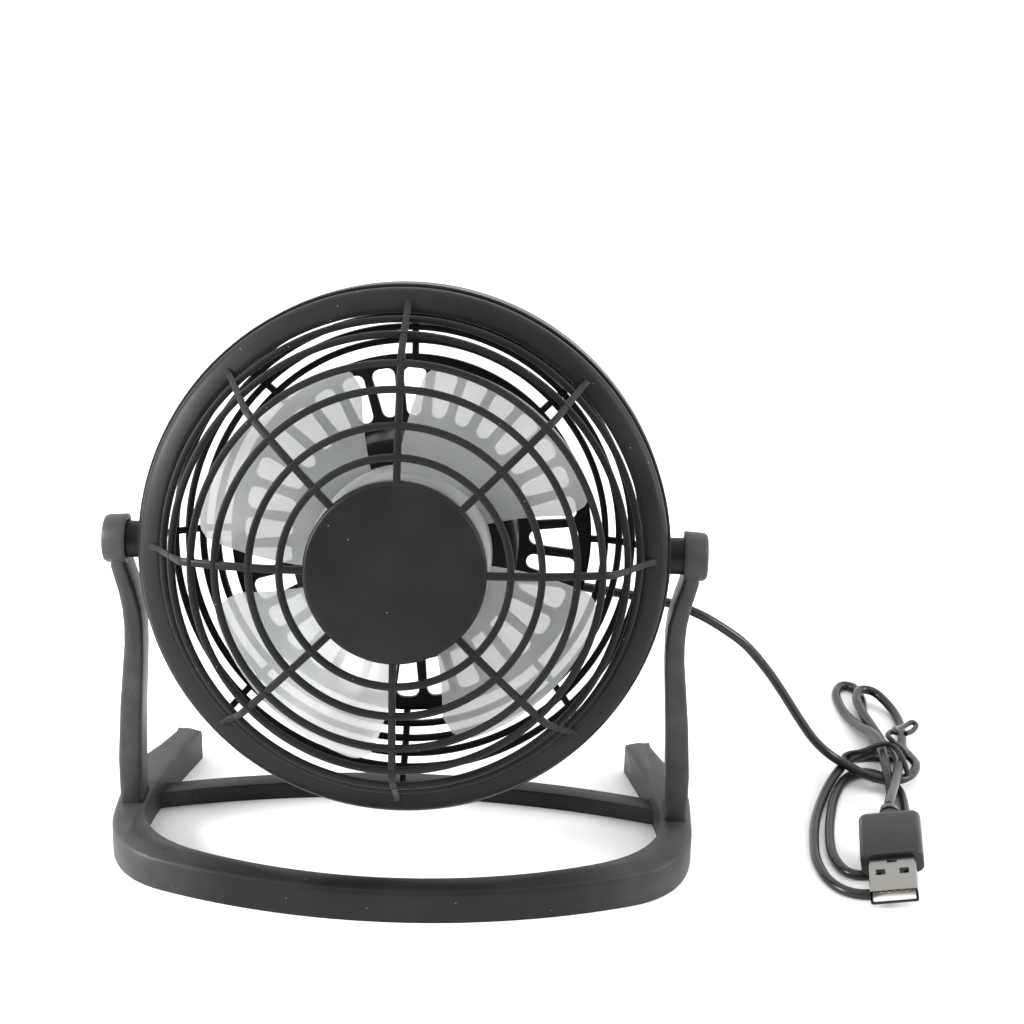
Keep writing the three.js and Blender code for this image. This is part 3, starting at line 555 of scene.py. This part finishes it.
# the same plastic on the stand, with painted light: its colour lightened in patches towards its two
# sides, where light falls on them
side_lit_black = plastic(
    "Satin black plastic, rubbed", dark=black_low, light=black_high, rough=(0.4, 0.52),
    grain=2400, depth=0.02 * mm, specks=0.14, shine=0.2,
)
tree = side_lit_black.node_tree
shader = tree.nodes["Principled BSDF"]
base_colour = shader.inputs["Base Color"].links[0].from_socket
# painted light: the base colour runs lighter towards the stand's two sides, broken into patches by
# noise
coordinates = node(tree, "ShaderNodeTexCoord", (-1300, 600))
across = node(tree, "ShaderNodeSeparateXYZ", (-1100, 600))
sideways = node(tree, "ShaderNodeMath", (-900, 600), operation="ABSOLUTE")
painted_side_light = node(tree, "ShaderNodeMapRange", (-650, 600), interpolation_type="SMOOTHSTEP")
painted_side_light.inputs["From Min"].default_value = 0.038
painted_side_light.inputs["From Max"].default_value = 0.07
painted_side_light.inputs["To Max"].default_value = 0.8
streaks = node(tree, "ShaderNodeTexNoise", (-900, 850))
streaks.inputs["Scale"].default_value = 140
streaks.inputs["Detail"].default_value = 5
patchy = node(tree, "ShaderNodeMapRange", (-650, 850))
patchy.inputs["From Min"].default_value = 0.3
patchy.inputs["From Max"].default_value = 0.7
patchy.inputs["To Min"].default_value = 0.55
amount = node(tree, "ShaderNodeMath", (-400, 700), operation="MULTIPLY")
side_light_mix = node(tree, "ShaderNodeMix", (-120, 400), data_type="RGBA")
side_light_mix.inputs["B"].default_value = (0.062, 0.063, 0.066, 1)
tree.links.new(coordinates.outputs["Object"], across.inputs["Vector"])
tree.links.new(coordinates.outputs["Object"], streaks.inputs["Vector"])
tree.links.new(across.outputs["X"], sideways.inputs[0])
tree.links.new(sideways.outputs["Value"], painted_side_light.inputs["Value"])
tree.links.new(streaks.outputs["Fac"], patchy.inputs["Value"])
tree.links.new(painted_side_light.outputs["Result"], amount.inputs[0])
tree.links.new(patchy.outputs["Result"], amount.inputs[1])
tree.links.new(base_colour, side_light_mix.inputs["A"])
tree.links.new(amount.outputs["Value"], side_light_mix.inputs["Factor"])
tree.links.new(side_light_mix.outputs["Result"], shader.inputs["Base Color"])
put(
    "stand_moulding", gather(stand_pieces), "base", side_lit_black, ["stand"],
    outward=False,
)

# ---- Front guard: hub cap, six round bars and eight spokes in one black moulding ----
# Moulded in the same satin black. It snaps into the rim behind it, and its spokes bend back
# at a knee and end on the sloping bezel.
head_lean = math.radians(-15.5)
head_place = Matrix.Translation(pivot) @ Matrix.Rotation(head_lean, 4, "X")
bar_width, bar_depth = 1.75 * mm, 2.1 * mm
hub_radius, hub_front, hub_wall = 21.7 * mm, -40.4 * mm, 1.6 * mm
knee_radius, root_radius, root_depth = 51.5 * mm, 61.2 * mm, -9.4 * mm
dome_start, dome_drop = hub_front + 0.3 * mm, 7 * mm


def front_line(radius):
    """Depth of the guard's front face at a radius: a shallow dome, then straight back."""
    if radius <= knee_radius:
        share = max(0, radius - hub_radius) / (knee_radius - hub_radius)
        return dome_start + dome_drop * share**2
    knee_depth = dome_start + dome_drop
    share = (radius - knee_radius) / (root_radius - knee_radius)
    return knee_depth + (root_depth - knee_depth) * share


def ring(bm, radius, front):
    """A round bar about the axis with softened edges."""
    cut, nick = 0.6 * mm, 0.18 * mm
    inner, outer, back = radius - bar_width / 2, radius + bar_width / 2, front + bar_depth
    turned(bm, [
        (inner + cut, front), (outer - cut, front), (outer - nick, front + nick), (outer, front + cut),
        (outer, back - cut), (outer - cut, back), (inner + cut, back), (inner, back - cut),
        (inner, front + cut), (inner + nick, front + nick),
    ], 144)


def spoke(line, depth):
    """A bar whose front edge follows a line of (radius, depth) points out along X."""
    bm = bmesh.new()
    outline = line + [(x, y + depth) for x, y in reversed(line)]
    slab(bm, outline, bar_width, Matrix.Translation((0, 0, -bar_width / 2)))
    bmesh.ops.recalc_face_normals(bm, faces=bm.faces)
    soften(bm, 0.35 * mm, 2, 50)
    return bm


def repeat_round(bm, count):
    """The same shape count times, evenly about Y."""
    shapes = []
    for i in range(count):
        copy = bm.copy()
        turn = Matrix.Rotation(2 * math.pi * i / count, 3, "Y")
        bmesh.ops.rotate(copy, cent=(0, 0, 0), matrix=turn, verts=copy.verts)
        shapes.append(copy)
    bm.free()
    return shapes


bm = bmesh.new()
cap_back = hub_front + 3.6 * mm
turned(bm, [
    (0, hub_front), (hub_radius - 1 * mm, hub_front), (hub_radius - 0.5 * mm, hub_front + 0.12 * mm),
    (hub_radius - 0.12 * mm, hub_front + 0.5 * mm), (hub_radius, hub_front + 1 * mm),
    (hub_radius, cap_back - 0.3 * mm), (hub_radius - 0.3 * mm, cap_back),
    (hub_radius - hub_wall, cap_back), (hub_radius - hub_wall, hub_front + 2 * mm),
    (0, hub_front + 2 * mm),
], 144)
for share in (0.184, 0.431, 0.709, 0.91):
    radius = hub_radius + share * (knee_radius - hub_radius)
    ring(bm, radius, front_line(radius))
for share in (0.35, 0.67):
    radius = knee_radius + share * (root_radius - knee_radius)
    ring(bm, radius, front_line(radius))
rim_radius, rim_front, rim_back, rim_wall = 66 * mm, -6.2 * mm, 6.5 * mm, 2.2 * mm
bezel_edge = rim_front - 0.3 * mm
bezel_radius, lip_radius, lip_wall, lip_end = 65.2 * mm, 63.5 * mm, 1.6 * mm, -3.1 * mm
turned(bm, [
    (59.1 * mm, -11.3 * mm), (59.3 * mm, -11.65 * mm), (59.8 * mm, -11.8 * mm),
    (60.6 * mm, -11.65 * mm), (63.6 * mm, -10.5 * mm), (64.5 * mm, -10 * mm),
    (65.05 * mm, -9.2 * mm), (bezel_radius, -8.4 * mm), (bezel_radius, bezel_edge),
    (lip_radius, bezel_edge), (lip_radius, lip_end), (lip_radius - lip_wall, lip_end),
    (lip_radius - lip_wall, -7.7 * mm), (59.3 * mm, -9.8 * mm), (59.1 * mm, -10.2 * mm),
], 160)
below_rings = 0.12 * mm
line = [(hub_radius - 1 * mm, front_line(hub_radius))]
line += [(radius, front_line(radius) + below_rings)
         for radius in (r * mm for r in (25, 28, 31, 34, 37, 40, 43, 46, 48.5, 50.4))]
line += [(knee_radius + 0.5 * mm, front_line(knee_radius) + 0.9 * mm), (59.9 * mm, -14.4 * mm)]
line += [(60.9 * mm, -12.8 * mm), (62.2 * mm, -11.5 * mm)]
guard = gather([bm, *repeat_round(spoke(line, bar_depth), 8)])
put(
    "front_guard", guard, "head", satin_black, ["front_grille"], head_place,
    outward=False,
)

# ---- Rear shell: rim, two pivot bosses, four basket bars, eight spokes and the slotted disc ----
# The other big moulding. The motor cover, the switch and the lead's gland are fixed to its disc.
disc_radius, disc_back, disc_front = 46.6 * mm, 25 * mm, 22.8 * mm
disc_wall = disc_back - disc_front
basket_outer = rim_radius - rim_wall / 2


def rear_line(radius):
    """Depth of the basket's back face at a radius."""
    share = (radius - disc_radius) / (basket_outer - disc_radius)
    return disc_back - (disc_back - rim_back) * share**2


def loop_of(bm, points):
    """A closed line through points in the disc's plane."""
    corners = [bm.verts.new((x, disc_front, z)) for x, z in points]
    return [bm.edges.new(pair) for pair in zip(corners, corners[1:] + corners[:1])]


def circle_points(radius, count, middle=(0, 0)):
    """Points of a circle about its middle, in the disc's plane."""
    angles = [2 * math.pi * i / count for i in range(count)]
    return [(middle[0] + radius * math.cos(a), middle[1] + radius * math.sin(a)) for a in angles]


def turn_points(points, angle):
    """The same points turned about the disc's middle."""
    c, s = math.cos(angle), math.sin(angle)
    return [(x * c - z * s, x * s + z * c) for x, z in points]


slot_count, slot_in, slot_out, slot_bar, slot_corner = 32, 30.6 * mm, 43.2 * mm, 2.4 * mm, 1.9 * mm
half_in = math.pi * (slot_in + 1 * mm) / slot_count - slot_bar / 2
half_out = math.pi * (slot_out - 1 * mm) / slot_count - slot_bar / 2
slot_shape = [(slot_in + half_in - half_in * math.cos(a), half_in * math.sin(a))
              for a in [math.pi * (i / 8 - 0.5) for i in range(9)]]
for side, turns in ((1, (90, 60, 30, 0)), (-1, (0, -30, -60, -90))):
    for a in map(math.radians, turns):
        slot_shape.append((slot_out - slot_corner + slot_corner * math.cos(a),
                           side * (half_out - slot_corner) + slot_corner * math.sin(a)))
screw_angles = [math.radians(90 + 120 * i) for i in range(3)]
screw_circle, screw_hole = 23.3 * mm, 1.7 * mm
screw_places = [(screw_circle * math.cos(a), screw_circle * math.sin(a)) for a in screw_angles]
switch_z, window_half = 10.4 * mm, (6.9 * mm, 4.65 * mm)
exit_z, exit_hole = -15.2 * mm, 2.5 * mm
disc = bmesh.new()
edges = loop_of(disc, circle_points(disc_radius, 160))
for i in range(slot_count):
    edges += loop_of(disc, turn_points(slot_shape, 2 * math.pi * i / slot_count))
for screw_place in screw_places:
    edges += loop_of(disc, circle_points(screw_hole, 20, screw_place))
edges += loop_of(disc, [(x * window_half[0], switch_z + z * window_half[1])
                        for x, z in ((-1, -1), (1, -1), (1, 1), (-1, 1))])
edges += loop_of(disc, circle_points(exit_hole, 24, (0, exit_z)))
bmesh.ops.triangle_fill(disc, edges=edges, use_beauty=True, normal=(0, -1, 0))
thicken(disc, disc.faces[:], (0, disc_wall, 0))
bmesh.ops.recalc_face_normals(disc, faces=disc.faces)
soften(disc, 0.4 * mm, 2, 60)

bm = bmesh.new()
turned(bm, [
    (44.4 * mm, disc_back - 0.4 * mm), (44.7 * mm, disc_back + 0.5 * mm),
    (45.1 * mm, disc_back + 0.8 * mm), (46.2 * mm, disc_back + 0.75 * mm),
    (46.65 * mm, disc_back + 0.3 * mm), (46.65 * mm, disc_front + 0.1 * mm),
    (46.3 * mm, disc_front - 0.1 * mm), (44.4 * mm, disc_front - 0.1 * mm),
], 160)
basket_reach = basket_outer - disc_radius
for share in (0.2, 0.39, 0.565, 0.72):
    radius = disc_radius + share * basket_reach
    ring(bm, radius, rear_line(radius) - bar_depth)
inside = rim_radius - rim_wall
turned(bm, [
    (inside, rim_front), (rim_radius - 0.3 * mm, rim_front), (rim_radius, rim_front + 0.3 * mm),
    (rim_radius, rim_back - 0.8 * mm), (rim_radius - 0.25 * mm, rim_back - 0.25 * mm),
    (rim_radius - 0.8 * mm, rim_back), (inside + 0.3 * mm, rim_back), (inside, rim_back - 0.3 * mm),
], 160)
shell_parts = [disc, bm]
boss_radius, boss_length, boss_start = 4.6 * mm, 8.8 * mm, 64.2 * mm
for side in (-1, 1):
    boss = bmesh.new()
    turned(boss, [
        (0, 0), (boss_radius, 0), (boss_radius, boss_length - 0.3 * mm),
        (boss_radius - 0.3 * mm, boss_length), (0, boss_length),
    ], 48)
    turn = Matrix.Rotation(math.radians(-side * 90), 4, "Z")
    out = Matrix.Translation((side * boss_start, 0, 0)) @ turn
    bmesh.ops.transform(boss, matrix=out, verts=boss.verts)
    shell_parts.append(boss)
line = []
for share in (-0.05, 0.12, 0.25, 0.38, 0.5, 0.62, 0.74, 0.85, 0.97):
    radius = disc_radius + share * basket_reach
    line.append((radius, rear_line(radius) - bar_depth + 0.2 * mm))
shell_parts += repeat_round(spoke(line, bar_depth - 0.3 * mm), 8)
put(
    "rear_moulding", gather(shell_parts), "head", satin_black, ["rear_shell"],
    head_place, outward=False,
)

# ---- Motor cover: a plain drum behind the blades, screwed to the disc from behind ----
# Moulded in matte black. Its front wall guides the motor's nose, and three posts take the screws.
matte_black = plastic(
    "Matte black plastic", dark=(0.007, 0.007, 0.0075), light=(0.011, 0.011, 0.0115),
    rough=(0.46, 0.6), grain=1800, depth=0.02 * mm, specks=0.01, shine=0.15,
)
nose_hole, drum_inside, drum_radius = 3.3 * mm, 26.4 * mm, 28 * mm
drum_front, front_wall_back, drum_back = -6 * mm, -4.4 * mm, 22.5 * mm
bm = bmesh.new()
turned(bm, [
    (nose_hole, drum_front), (drum_inside, drum_front), (27.3 * mm, -5.8 * mm),
    (27.8 * mm, -5.3 * mm), (drum_radius, front_wall_back), (drum_radius, drum_back),
    (drum_inside, drum_back), (drum_inside, front_wall_back), (nose_hole, front_wall_back),
], 128)
cover_parts = [bm]
post_radius, post_bore, post_front = 3.6 * mm, 1.6 * mm, 11.5 * mm
for x, z in screw_places:
    post = bmesh.new()
    turned(post, [
        (0, post_front), (post_radius - 0.3 * mm, post_front), (post_radius, post_front + 0.3 * mm),
        (post_radius, drum_back), (post_bore, drum_back), (post_bore, post_front + 2 * mm),
        (0, post_front + 2 * mm),
    ], 32)
    bmesh.ops.translate(post, vec=(x, 0, z), verts=post.verts)
    cover_parts.append(post)
put(
    "motor_drum", gather(cover_parts), "head", matte_black, ["motor_cover"],
    head_place, outward=False,
)

# ---- Rear screws: three bright pan-head screws with a cross recess ----
# Zinc-plated steel, driven through the disc into the motor cover's posts.
shank, head_radius, under_head = 1.3 * mm, 2.75 * mm, disc_back + 0.3 * mm
arm_end, arm_half = 1.5 * mm, 0.33 * mm
cross = [(arm_end, arm_half), (arm_half, arm_half), (arm_half, arm_end), (-arm_half, arm_end),
         (-arm_half, arm_half), (-arm_end, arm_half), (-arm_end, -arm_half), (-arm_half, -arm_half),
         (-arm_half, -arm_end), (arm_half, -arm_end), (arm_half, -arm_half), (arm_end, -arm_half)]
recess_top = Matrix.Translation((0, under_head + 2.8 * mm, 0))
for number, (x, z) in enumerate(screw_places, 1):
    bm = bmesh.new()
    turned(bm, [
        (0, 15.5 * mm), (shank, 16.5 * mm), (shank, under_head), (head_radius, under_head),
        (head_radius, under_head + 0.6 * mm), (2.5 * mm, under_head + 1.1 * mm),
        (2 * mm, under_head + 1.45 * mm), (1.2 * mm, under_head + 1.65 * mm),
        (0, under_head + 1.7 * mm),
    ], 40)
    name = f"rear_screw_{number}_bright"
    screw = put(name, bm, "head", bright_steel, [f"rear_screw_{number}"])
    driven_to = Matrix.Rotation(0.4 + number, 4, "Y")
    recess = bmesh.new()
    slab(recess, cross, 2 * mm, recess_top @ driven_to @ quarter_up)
    bmesh.ops.recalc_face_normals(recess, faces=recess.faces)
    cut_out(screw, recess, head_place @ Matrix.Translation((x, 0, z)), 30)

# ---- Impeller: frosted see-through hub cup and four wide blades in one moulding ----
# Natural polypropylene, milky and smooth. Each blade is a thin sheet bent round the axis and
# pitched so that the air comes out at the front.
frosted = bpy.data.materials.new("Frosted plastic")
frosted.use_nodes = True
tree = frosted.node_tree
shader = tree.nodes["Principled BSDF"]
masks = node(tree, "ShaderNodeGroup", (-900, 0), node_tree=moulded_surface)
masks.inputs["Grain size"].default_value = 1500
masks.inputs["Cloud size"].default_value = 35
masks.inputs["Speck amount"].default_value = 0.0
milk = node(tree, "ShaderNodeValToRGB", (-600, 250))
milk.color_ramp.elements[0].position = 0.3
milk.color_ramp.elements[0].color = (0.37, 0.385, 0.395, 1)
milk.color_ramp.elements[1].position = 0.7
milk.color_ramp.elements[1].color = (0.47, 0.48, 0.478, 1)
cloudy = node(tree, "ShaderNodeMapRange", (-600, -300))
cloudy.inputs["To Min"].default_value = 0.54
cloudy.inputs["To Max"].default_value = 0.68
bump = node(tree, "ShaderNodeBump", (-300, -150))
bump.inputs["Distance"].default_value = 0.00001
tree.links.new(masks.outputs["Cloud"], milk.inputs["Fac"])
tree.links.new(milk.outputs["Color"], shader.inputs["Base Color"])
tree.links.new(masks.outputs["Cloud"], cloudy.inputs["Value"])
tree.links.new(cloudy.outputs["Result"], shader.inputs["Alpha"])
tree.links.new(masks.outputs["Grain"], bump.inputs["Height"])
tree.links.new(bump.outputs["Normal"], shader.inputs["Normal"])
shader.inputs["Roughness"].default_value = 0.28

impeller_hub, blade_tip, blade_thickness = 22 * mm, 48.8 * mm, 1.2 * mm
blade_front, blade_back, blade_bow, tip_corner = -28.5 * mm, -11 * mm, 6.4 * mm, 7 * mm
blade_start, blade_span, blade_sweep = math.radians(105), math.radians(70), math.radians(7)


def blade(index):
    """A flat grid bent into one blade, then given its thickness."""
    bm = bmesh.new()
    bmesh.ops.create_grid(bm, x_segments=12, y_segments=40, size=0.5)
    root = impeller_hub - 0.8 * mm
    for v in bm.verts:
        out, along = v.co.x + 0.5, v.co.y + 0.5
        into_corner = max(0, tip_corner - min(along, 1 - along) * blade_span * blade_tip)
        drop = tip_corner - math.sqrt(tip_corner**2 - into_corner**2)
        radius = root + out * (blade_tip - drop - root)
        angle = blade_start + blade_sweep * (1 - out) + index * math.pi / 2 + along * blade_span
        depth = blade_back + (blade_front - blade_back) * along + blade_bow * along * (1 - along)
        v.co = (radius * math.cos(angle), depth - blade_thickness / 2, radius * math.sin(angle))
    thicken(bm, bm.faces[:], (0, blade_thickness, 0))
    bmesh.ops.recalc_face_normals(bm, faces=bm.faces)
    soften(bm, 0.35 * mm, 2, 60)
    return bm


cup_front, cup_inside, cup_back, cup_bore = -33 * mm, -31.4 * mm, -8.5 * mm, 20.5 * mm
sleeve_radius, sleeve_back, shaft_hole, shaft_end = 3.2 * mm, -11 * mm, 1.3 * mm, -29.3 * mm
bm = bmesh.new()
turned(bm, [
    (0, cup_front), (20.6 * mm, cup_front), (21.5 * mm, -32.6 * mm), (impeller_hub, -31.6 * mm),
    (impeller_hub, -8.7 * mm), (21.8 * mm, cup_back), (cup_bore, cup_back), (cup_bore, cup_inside),
    (sleeve_radius, cup_inside), (sleeve_radius, sleeve_back), (shaft_hole, sleeve_back),
    (shaft_hole, shaft_end), (0, shaft_end),
], 96)
fan_blades = gather([bm] + [blade(i) for i in range(4)])
put(
    "frosted_impeller", fan_blades, "rotor", frosted, ["impeller"], head_place,
    outward=False,
)

# ---- Motor: small brushed motor inside the drum ----
# A drawn steel can with two ferrite magnets, bronze bushes, a wound armature and its commutator.
# A white plastic cap closes its back, where the three wires of the head run.
copper = metal("Enamelled copper", (0.72, 0.36, 0.17))
bronze = metal("Sintered bronze", (0.5, 0.36, 0.2), (0.4, 0.55))
ferrite = plastic(
    "Ferrite", dark=(0.03, 0.028, 0.027), light=(0.06, 0.056, 0.053), rough=(0.6, 0.75),
    grain=1500, depth=0.03 * mm,
)
red_vinyl = plastic(
    "Red vinyl", dark=(0.36, 0.012, 0.01), light=(0.45, 0.02, 0.015), rough=(0.3, 0.42),
    grain=900, depth=0.01 * mm,
)
white_plastic = plastic(
    "White plastic", dark=(0.72, 0.72, 0.7), light=(0.8, 0.8, 0.78), rough=(0.35, 0.5),
    grain=900, depth=0.01 * mm,
)
keep_with(bright_steel, "motor_can", "motor_shaft")
keep_with(white_plastic, "motor_end_cap")
keep_with(brass, "commutator")
keep_with(copper, "armature")
keep_with(bronze, "front_bush", "rear_bush")
keep_with(ferrite, "magnet_left", "magnet_right")
keep_with(red_vinyl, "lead_live", "lead_switched")
keep_with(vinyl, "lead_return")

# ---- Rocker switch: black frame snapped into the disc, with a tilting rocker ----
# Moulded in matte black nylon. The rocker carries a ring and a bar, the usual off and on marks.
flange_size, body_size = (14.8 * mm, 1.6 * mm, 10.3 * mm), (13.2 * mm, 10.5 * mm, 8.7 * mm)
flange_back = disc_back + 1.9 * mm
bm = bmesh.new()
box_in(bm, flange_size, (0, flange_back - flange_size[1] / 2, switch_z))
box_in(bm, body_size, (0, 20.7 * mm, switch_z))
soften(bm, 0.35 * mm, 3, 50)
frame_piece = put("switch_frame", bm, "head", matte_black, ["switch_body"])
well = bmesh.new()
box_in(well, (12.2 * mm, 20 * mm, 6.8 * mm), (0, 27.5 * mm, switch_z))
cut_out(frame_piece, well, head_place)
keep_with(brass, "switch_terminal_1", "switch_terminal_2")

half_tilt, rocker_half, rocker_top, rocker_under = math.radians(10), 5.1 * mm, 2.8 * mm, -2.2 * mm
rise = rocker_half * math.tan(half_tilt)
rocker_pivot = Matrix.Translation((0, 23.6 * mm, switch_z))
rocker_place = head_place @ rocker_pivot @ Matrix.Rotation(half_tilt, 4, "Z")
bm = bmesh.new()
slab(bm, [
    (-rocker_half, rocker_top + rise), (-4.7 * mm, rocker_top + rocker_under),
    (-2.4 * mm, rocker_under), (2.4 * mm, rocker_under), (4.7 * mm, rocker_top + rocker_under),
    (rocker_half, rocker_top + rise), (3.4 * mm, rocker_top + rise * 0.55),
    (1.7 * mm, rocker_top + rise * 0.18), (0, rocker_top), (-1.7 * mm, rocker_top + rise * 0.18),
    (-3.4 * mm, rocker_top + rise * 0.55),
], 6 * mm, Matrix.Translation((0, 0, -3 * mm)))
soften(bm, 0.3 * mm, 2, 50)
pin_radius, pin_half = 0.8 * mm, 3.9 * mm
pin = bmesh.new()
turned(pin, [(0, -pin_half), (pin_radius, -pin_half), (pin_radius, pin_half), (0, pin_half)], 24)
bmesh.ops.transform(pin, matrix=quarter_up, verts=pin.verts)
put(
    "rocker_paddle", gather([bm, pin]), "rocker", matte_black, ["rocker"],
    rocker_place, outward=False,
)

mark_white = plastic(
    "Mark white", dark=(0.5, 0.5, 0.49), light=(0.6, 0.6, 0.59), rough=(0.5, 0.6),
    grain=900, depth=0.005 * mm,
)
mark_aside, mark_up, mark_height = 2.4 * mm, rocker_top + rise * 0.36, 0.06 * mm
slope = Matrix.Rotation(math.radians(7), 4, "Z")
bm = bmesh.new()
turned(bm, [(0.62 * mm, 0), (0.86 * mm, 0), (0.86 * mm, mark_height), (0.62 * mm, mark_height)], 32)
off_place = rocker_place @ Matrix.Translation((mark_aside, mark_up, 0)) @ slope
put("off_mark", bm, "rocker", mark_white, place=off_place)
bm = bmesh.new()
box_in(bm, (1.5 * mm, mark_height, 0.24 * mm), (0, mark_height / 2, 0))
on_place = rocker_place @ Matrix.Translation((-mark_aside, mark_up, 0)) @ slope.inverted()
put("on_mark", bm, "rocker", mark_white, place=on_place)

# ---- Gland: a small grommet where the lead leaves the disc ----
# Soft black vinyl, pushed through the hole from inside. A groove grips the disc, and its
# rounded collar keeps the lead off the hole's edge.
gland_radius, groove_radius = 3.2 * mm, 2.2 * mm
gland_front, gland_end = 19.8 * mm, 26.7 * mm
bm = bmesh.new()
turned(bm, [
    (0, gland_front), (gland_radius, gland_front), (gland_radius, 22.5 * mm),
    (groove_radius, 22.5 * mm), (groove_radius, 25.3 * mm), (3.1 * mm, 25.3 * mm),
    (gland_radius, 25.6 * mm), (2.9 * mm, 26.4 * mm), (2.4 * mm, gland_end), (0, gland_end),
], 40)
gland_place = head_place @ Matrix.Translation((0, 0, exit_z))
put("gland", bm, "head", vinyl, ["cord_gland"], gland_place)

# ---- Studio: a white table in a room that is bright behind and overhead ----
# The room is dark in front, so the black pieces stay black, and a soft light on each side
# draws the edges of the arms and the rim.
bm = bmesh.new()
bmesh.ops.create_grid(bm, x_segments=1, y_segments=1, size=6)
floor_mesh = bpy.data.meshes.new("table_top")
bm.to_mesh(floor_mesh)
bm.free()
table_top = bpy.data.objects.new("table_top", floor_mesh)
bpy.context.scene.collection.objects.link(table_top)
pale = bpy.data.materials.new("Pale table")
pale.use_nodes = True
shader = pale.node_tree.nodes["Principled BSDF"]
shader.inputs["Base Color"].default_value = (0.93, 0.93, 0.93, 1)
shader.inputs["Roughness"].default_value = 0.9
shader.inputs["Specular IOR Level"].default_value = 0.1
floor_mesh.materials.append(pale)

world = bpy.data.worlds.new("studio")
bpy.context.scene.world = world
world.use_nodes = True
tree = world.node_tree
sky = tree.nodes["Background"]
direction = node(tree, "ShaderNodeTexCoord", (-900, 0))
parts = node(tree, "ShaderNodeSeparateXYZ", (-700, 0))
behind = node(tree, "ShaderNodeMapRange", (-450, 150))
behind.inputs["From Min"].default_value = -0.75
behind.inputs["From Max"].default_value = 0.4
overhead = node(tree, "ShaderNodeMapRange", (-450, -150))
overhead.inputs["From Min"].default_value = 0.35
overhead.inputs["From Max"].default_value = 0.95
brighter = node(tree, "ShaderNodeMath", (-200, 0), operation="MAXIMUM")
glow = node(tree, "ShaderNodeMapRange", (0, 0))
glow.inputs["To Min"].default_value = 0.15
glow.inputs["To Max"].default_value = 1.7
tree.links.new(direction.outputs["Generated"], parts.inputs["Vector"])
tree.links.new(parts.outputs["Y"], behind.inputs["Value"])
tree.links.new(parts.outputs["Z"], overhead.inputs["Value"])
tree.links.new(behind.outputs["Result"], brighter.inputs[0])
tree.links.new(overhead.outputs["Result"], brighter.inputs[1])
tree.links.new(brighter.outputs["Value"], glow.inputs["Value"])
tree.links.new(glow.outputs["Result"], sky.inputs["Strength"])
sky.inputs["Color"].default_value = (1, 1, 1, 1)


def soft_light(name, place, aim, size, power):
    """A round soft light turned towards a point."""
    data = bpy.data.lights.new(name, "AREA")
    data.shape = "DISK"
    data.size = size
    data.energy = power
    light = bpy.data.objects.new(name, data)
    light.location = place
    light.rotation_euler = (Vector(aim) - Vector(place)).to_track_quat("-Z", "Y").to_euler()
    bpy.context.scene.collection.objects.link(light)


soft_light("left_softbox", (-1.0, -0.35, 0.5), (0, 0, 0.06), 0.5, 24)
soft_light("right_softbox", (1.0, -0.1, 0.5), (0, 0, 0.05), 0.5, 9)
bpy.context.scene.view_settings.view_transform = "Standard"
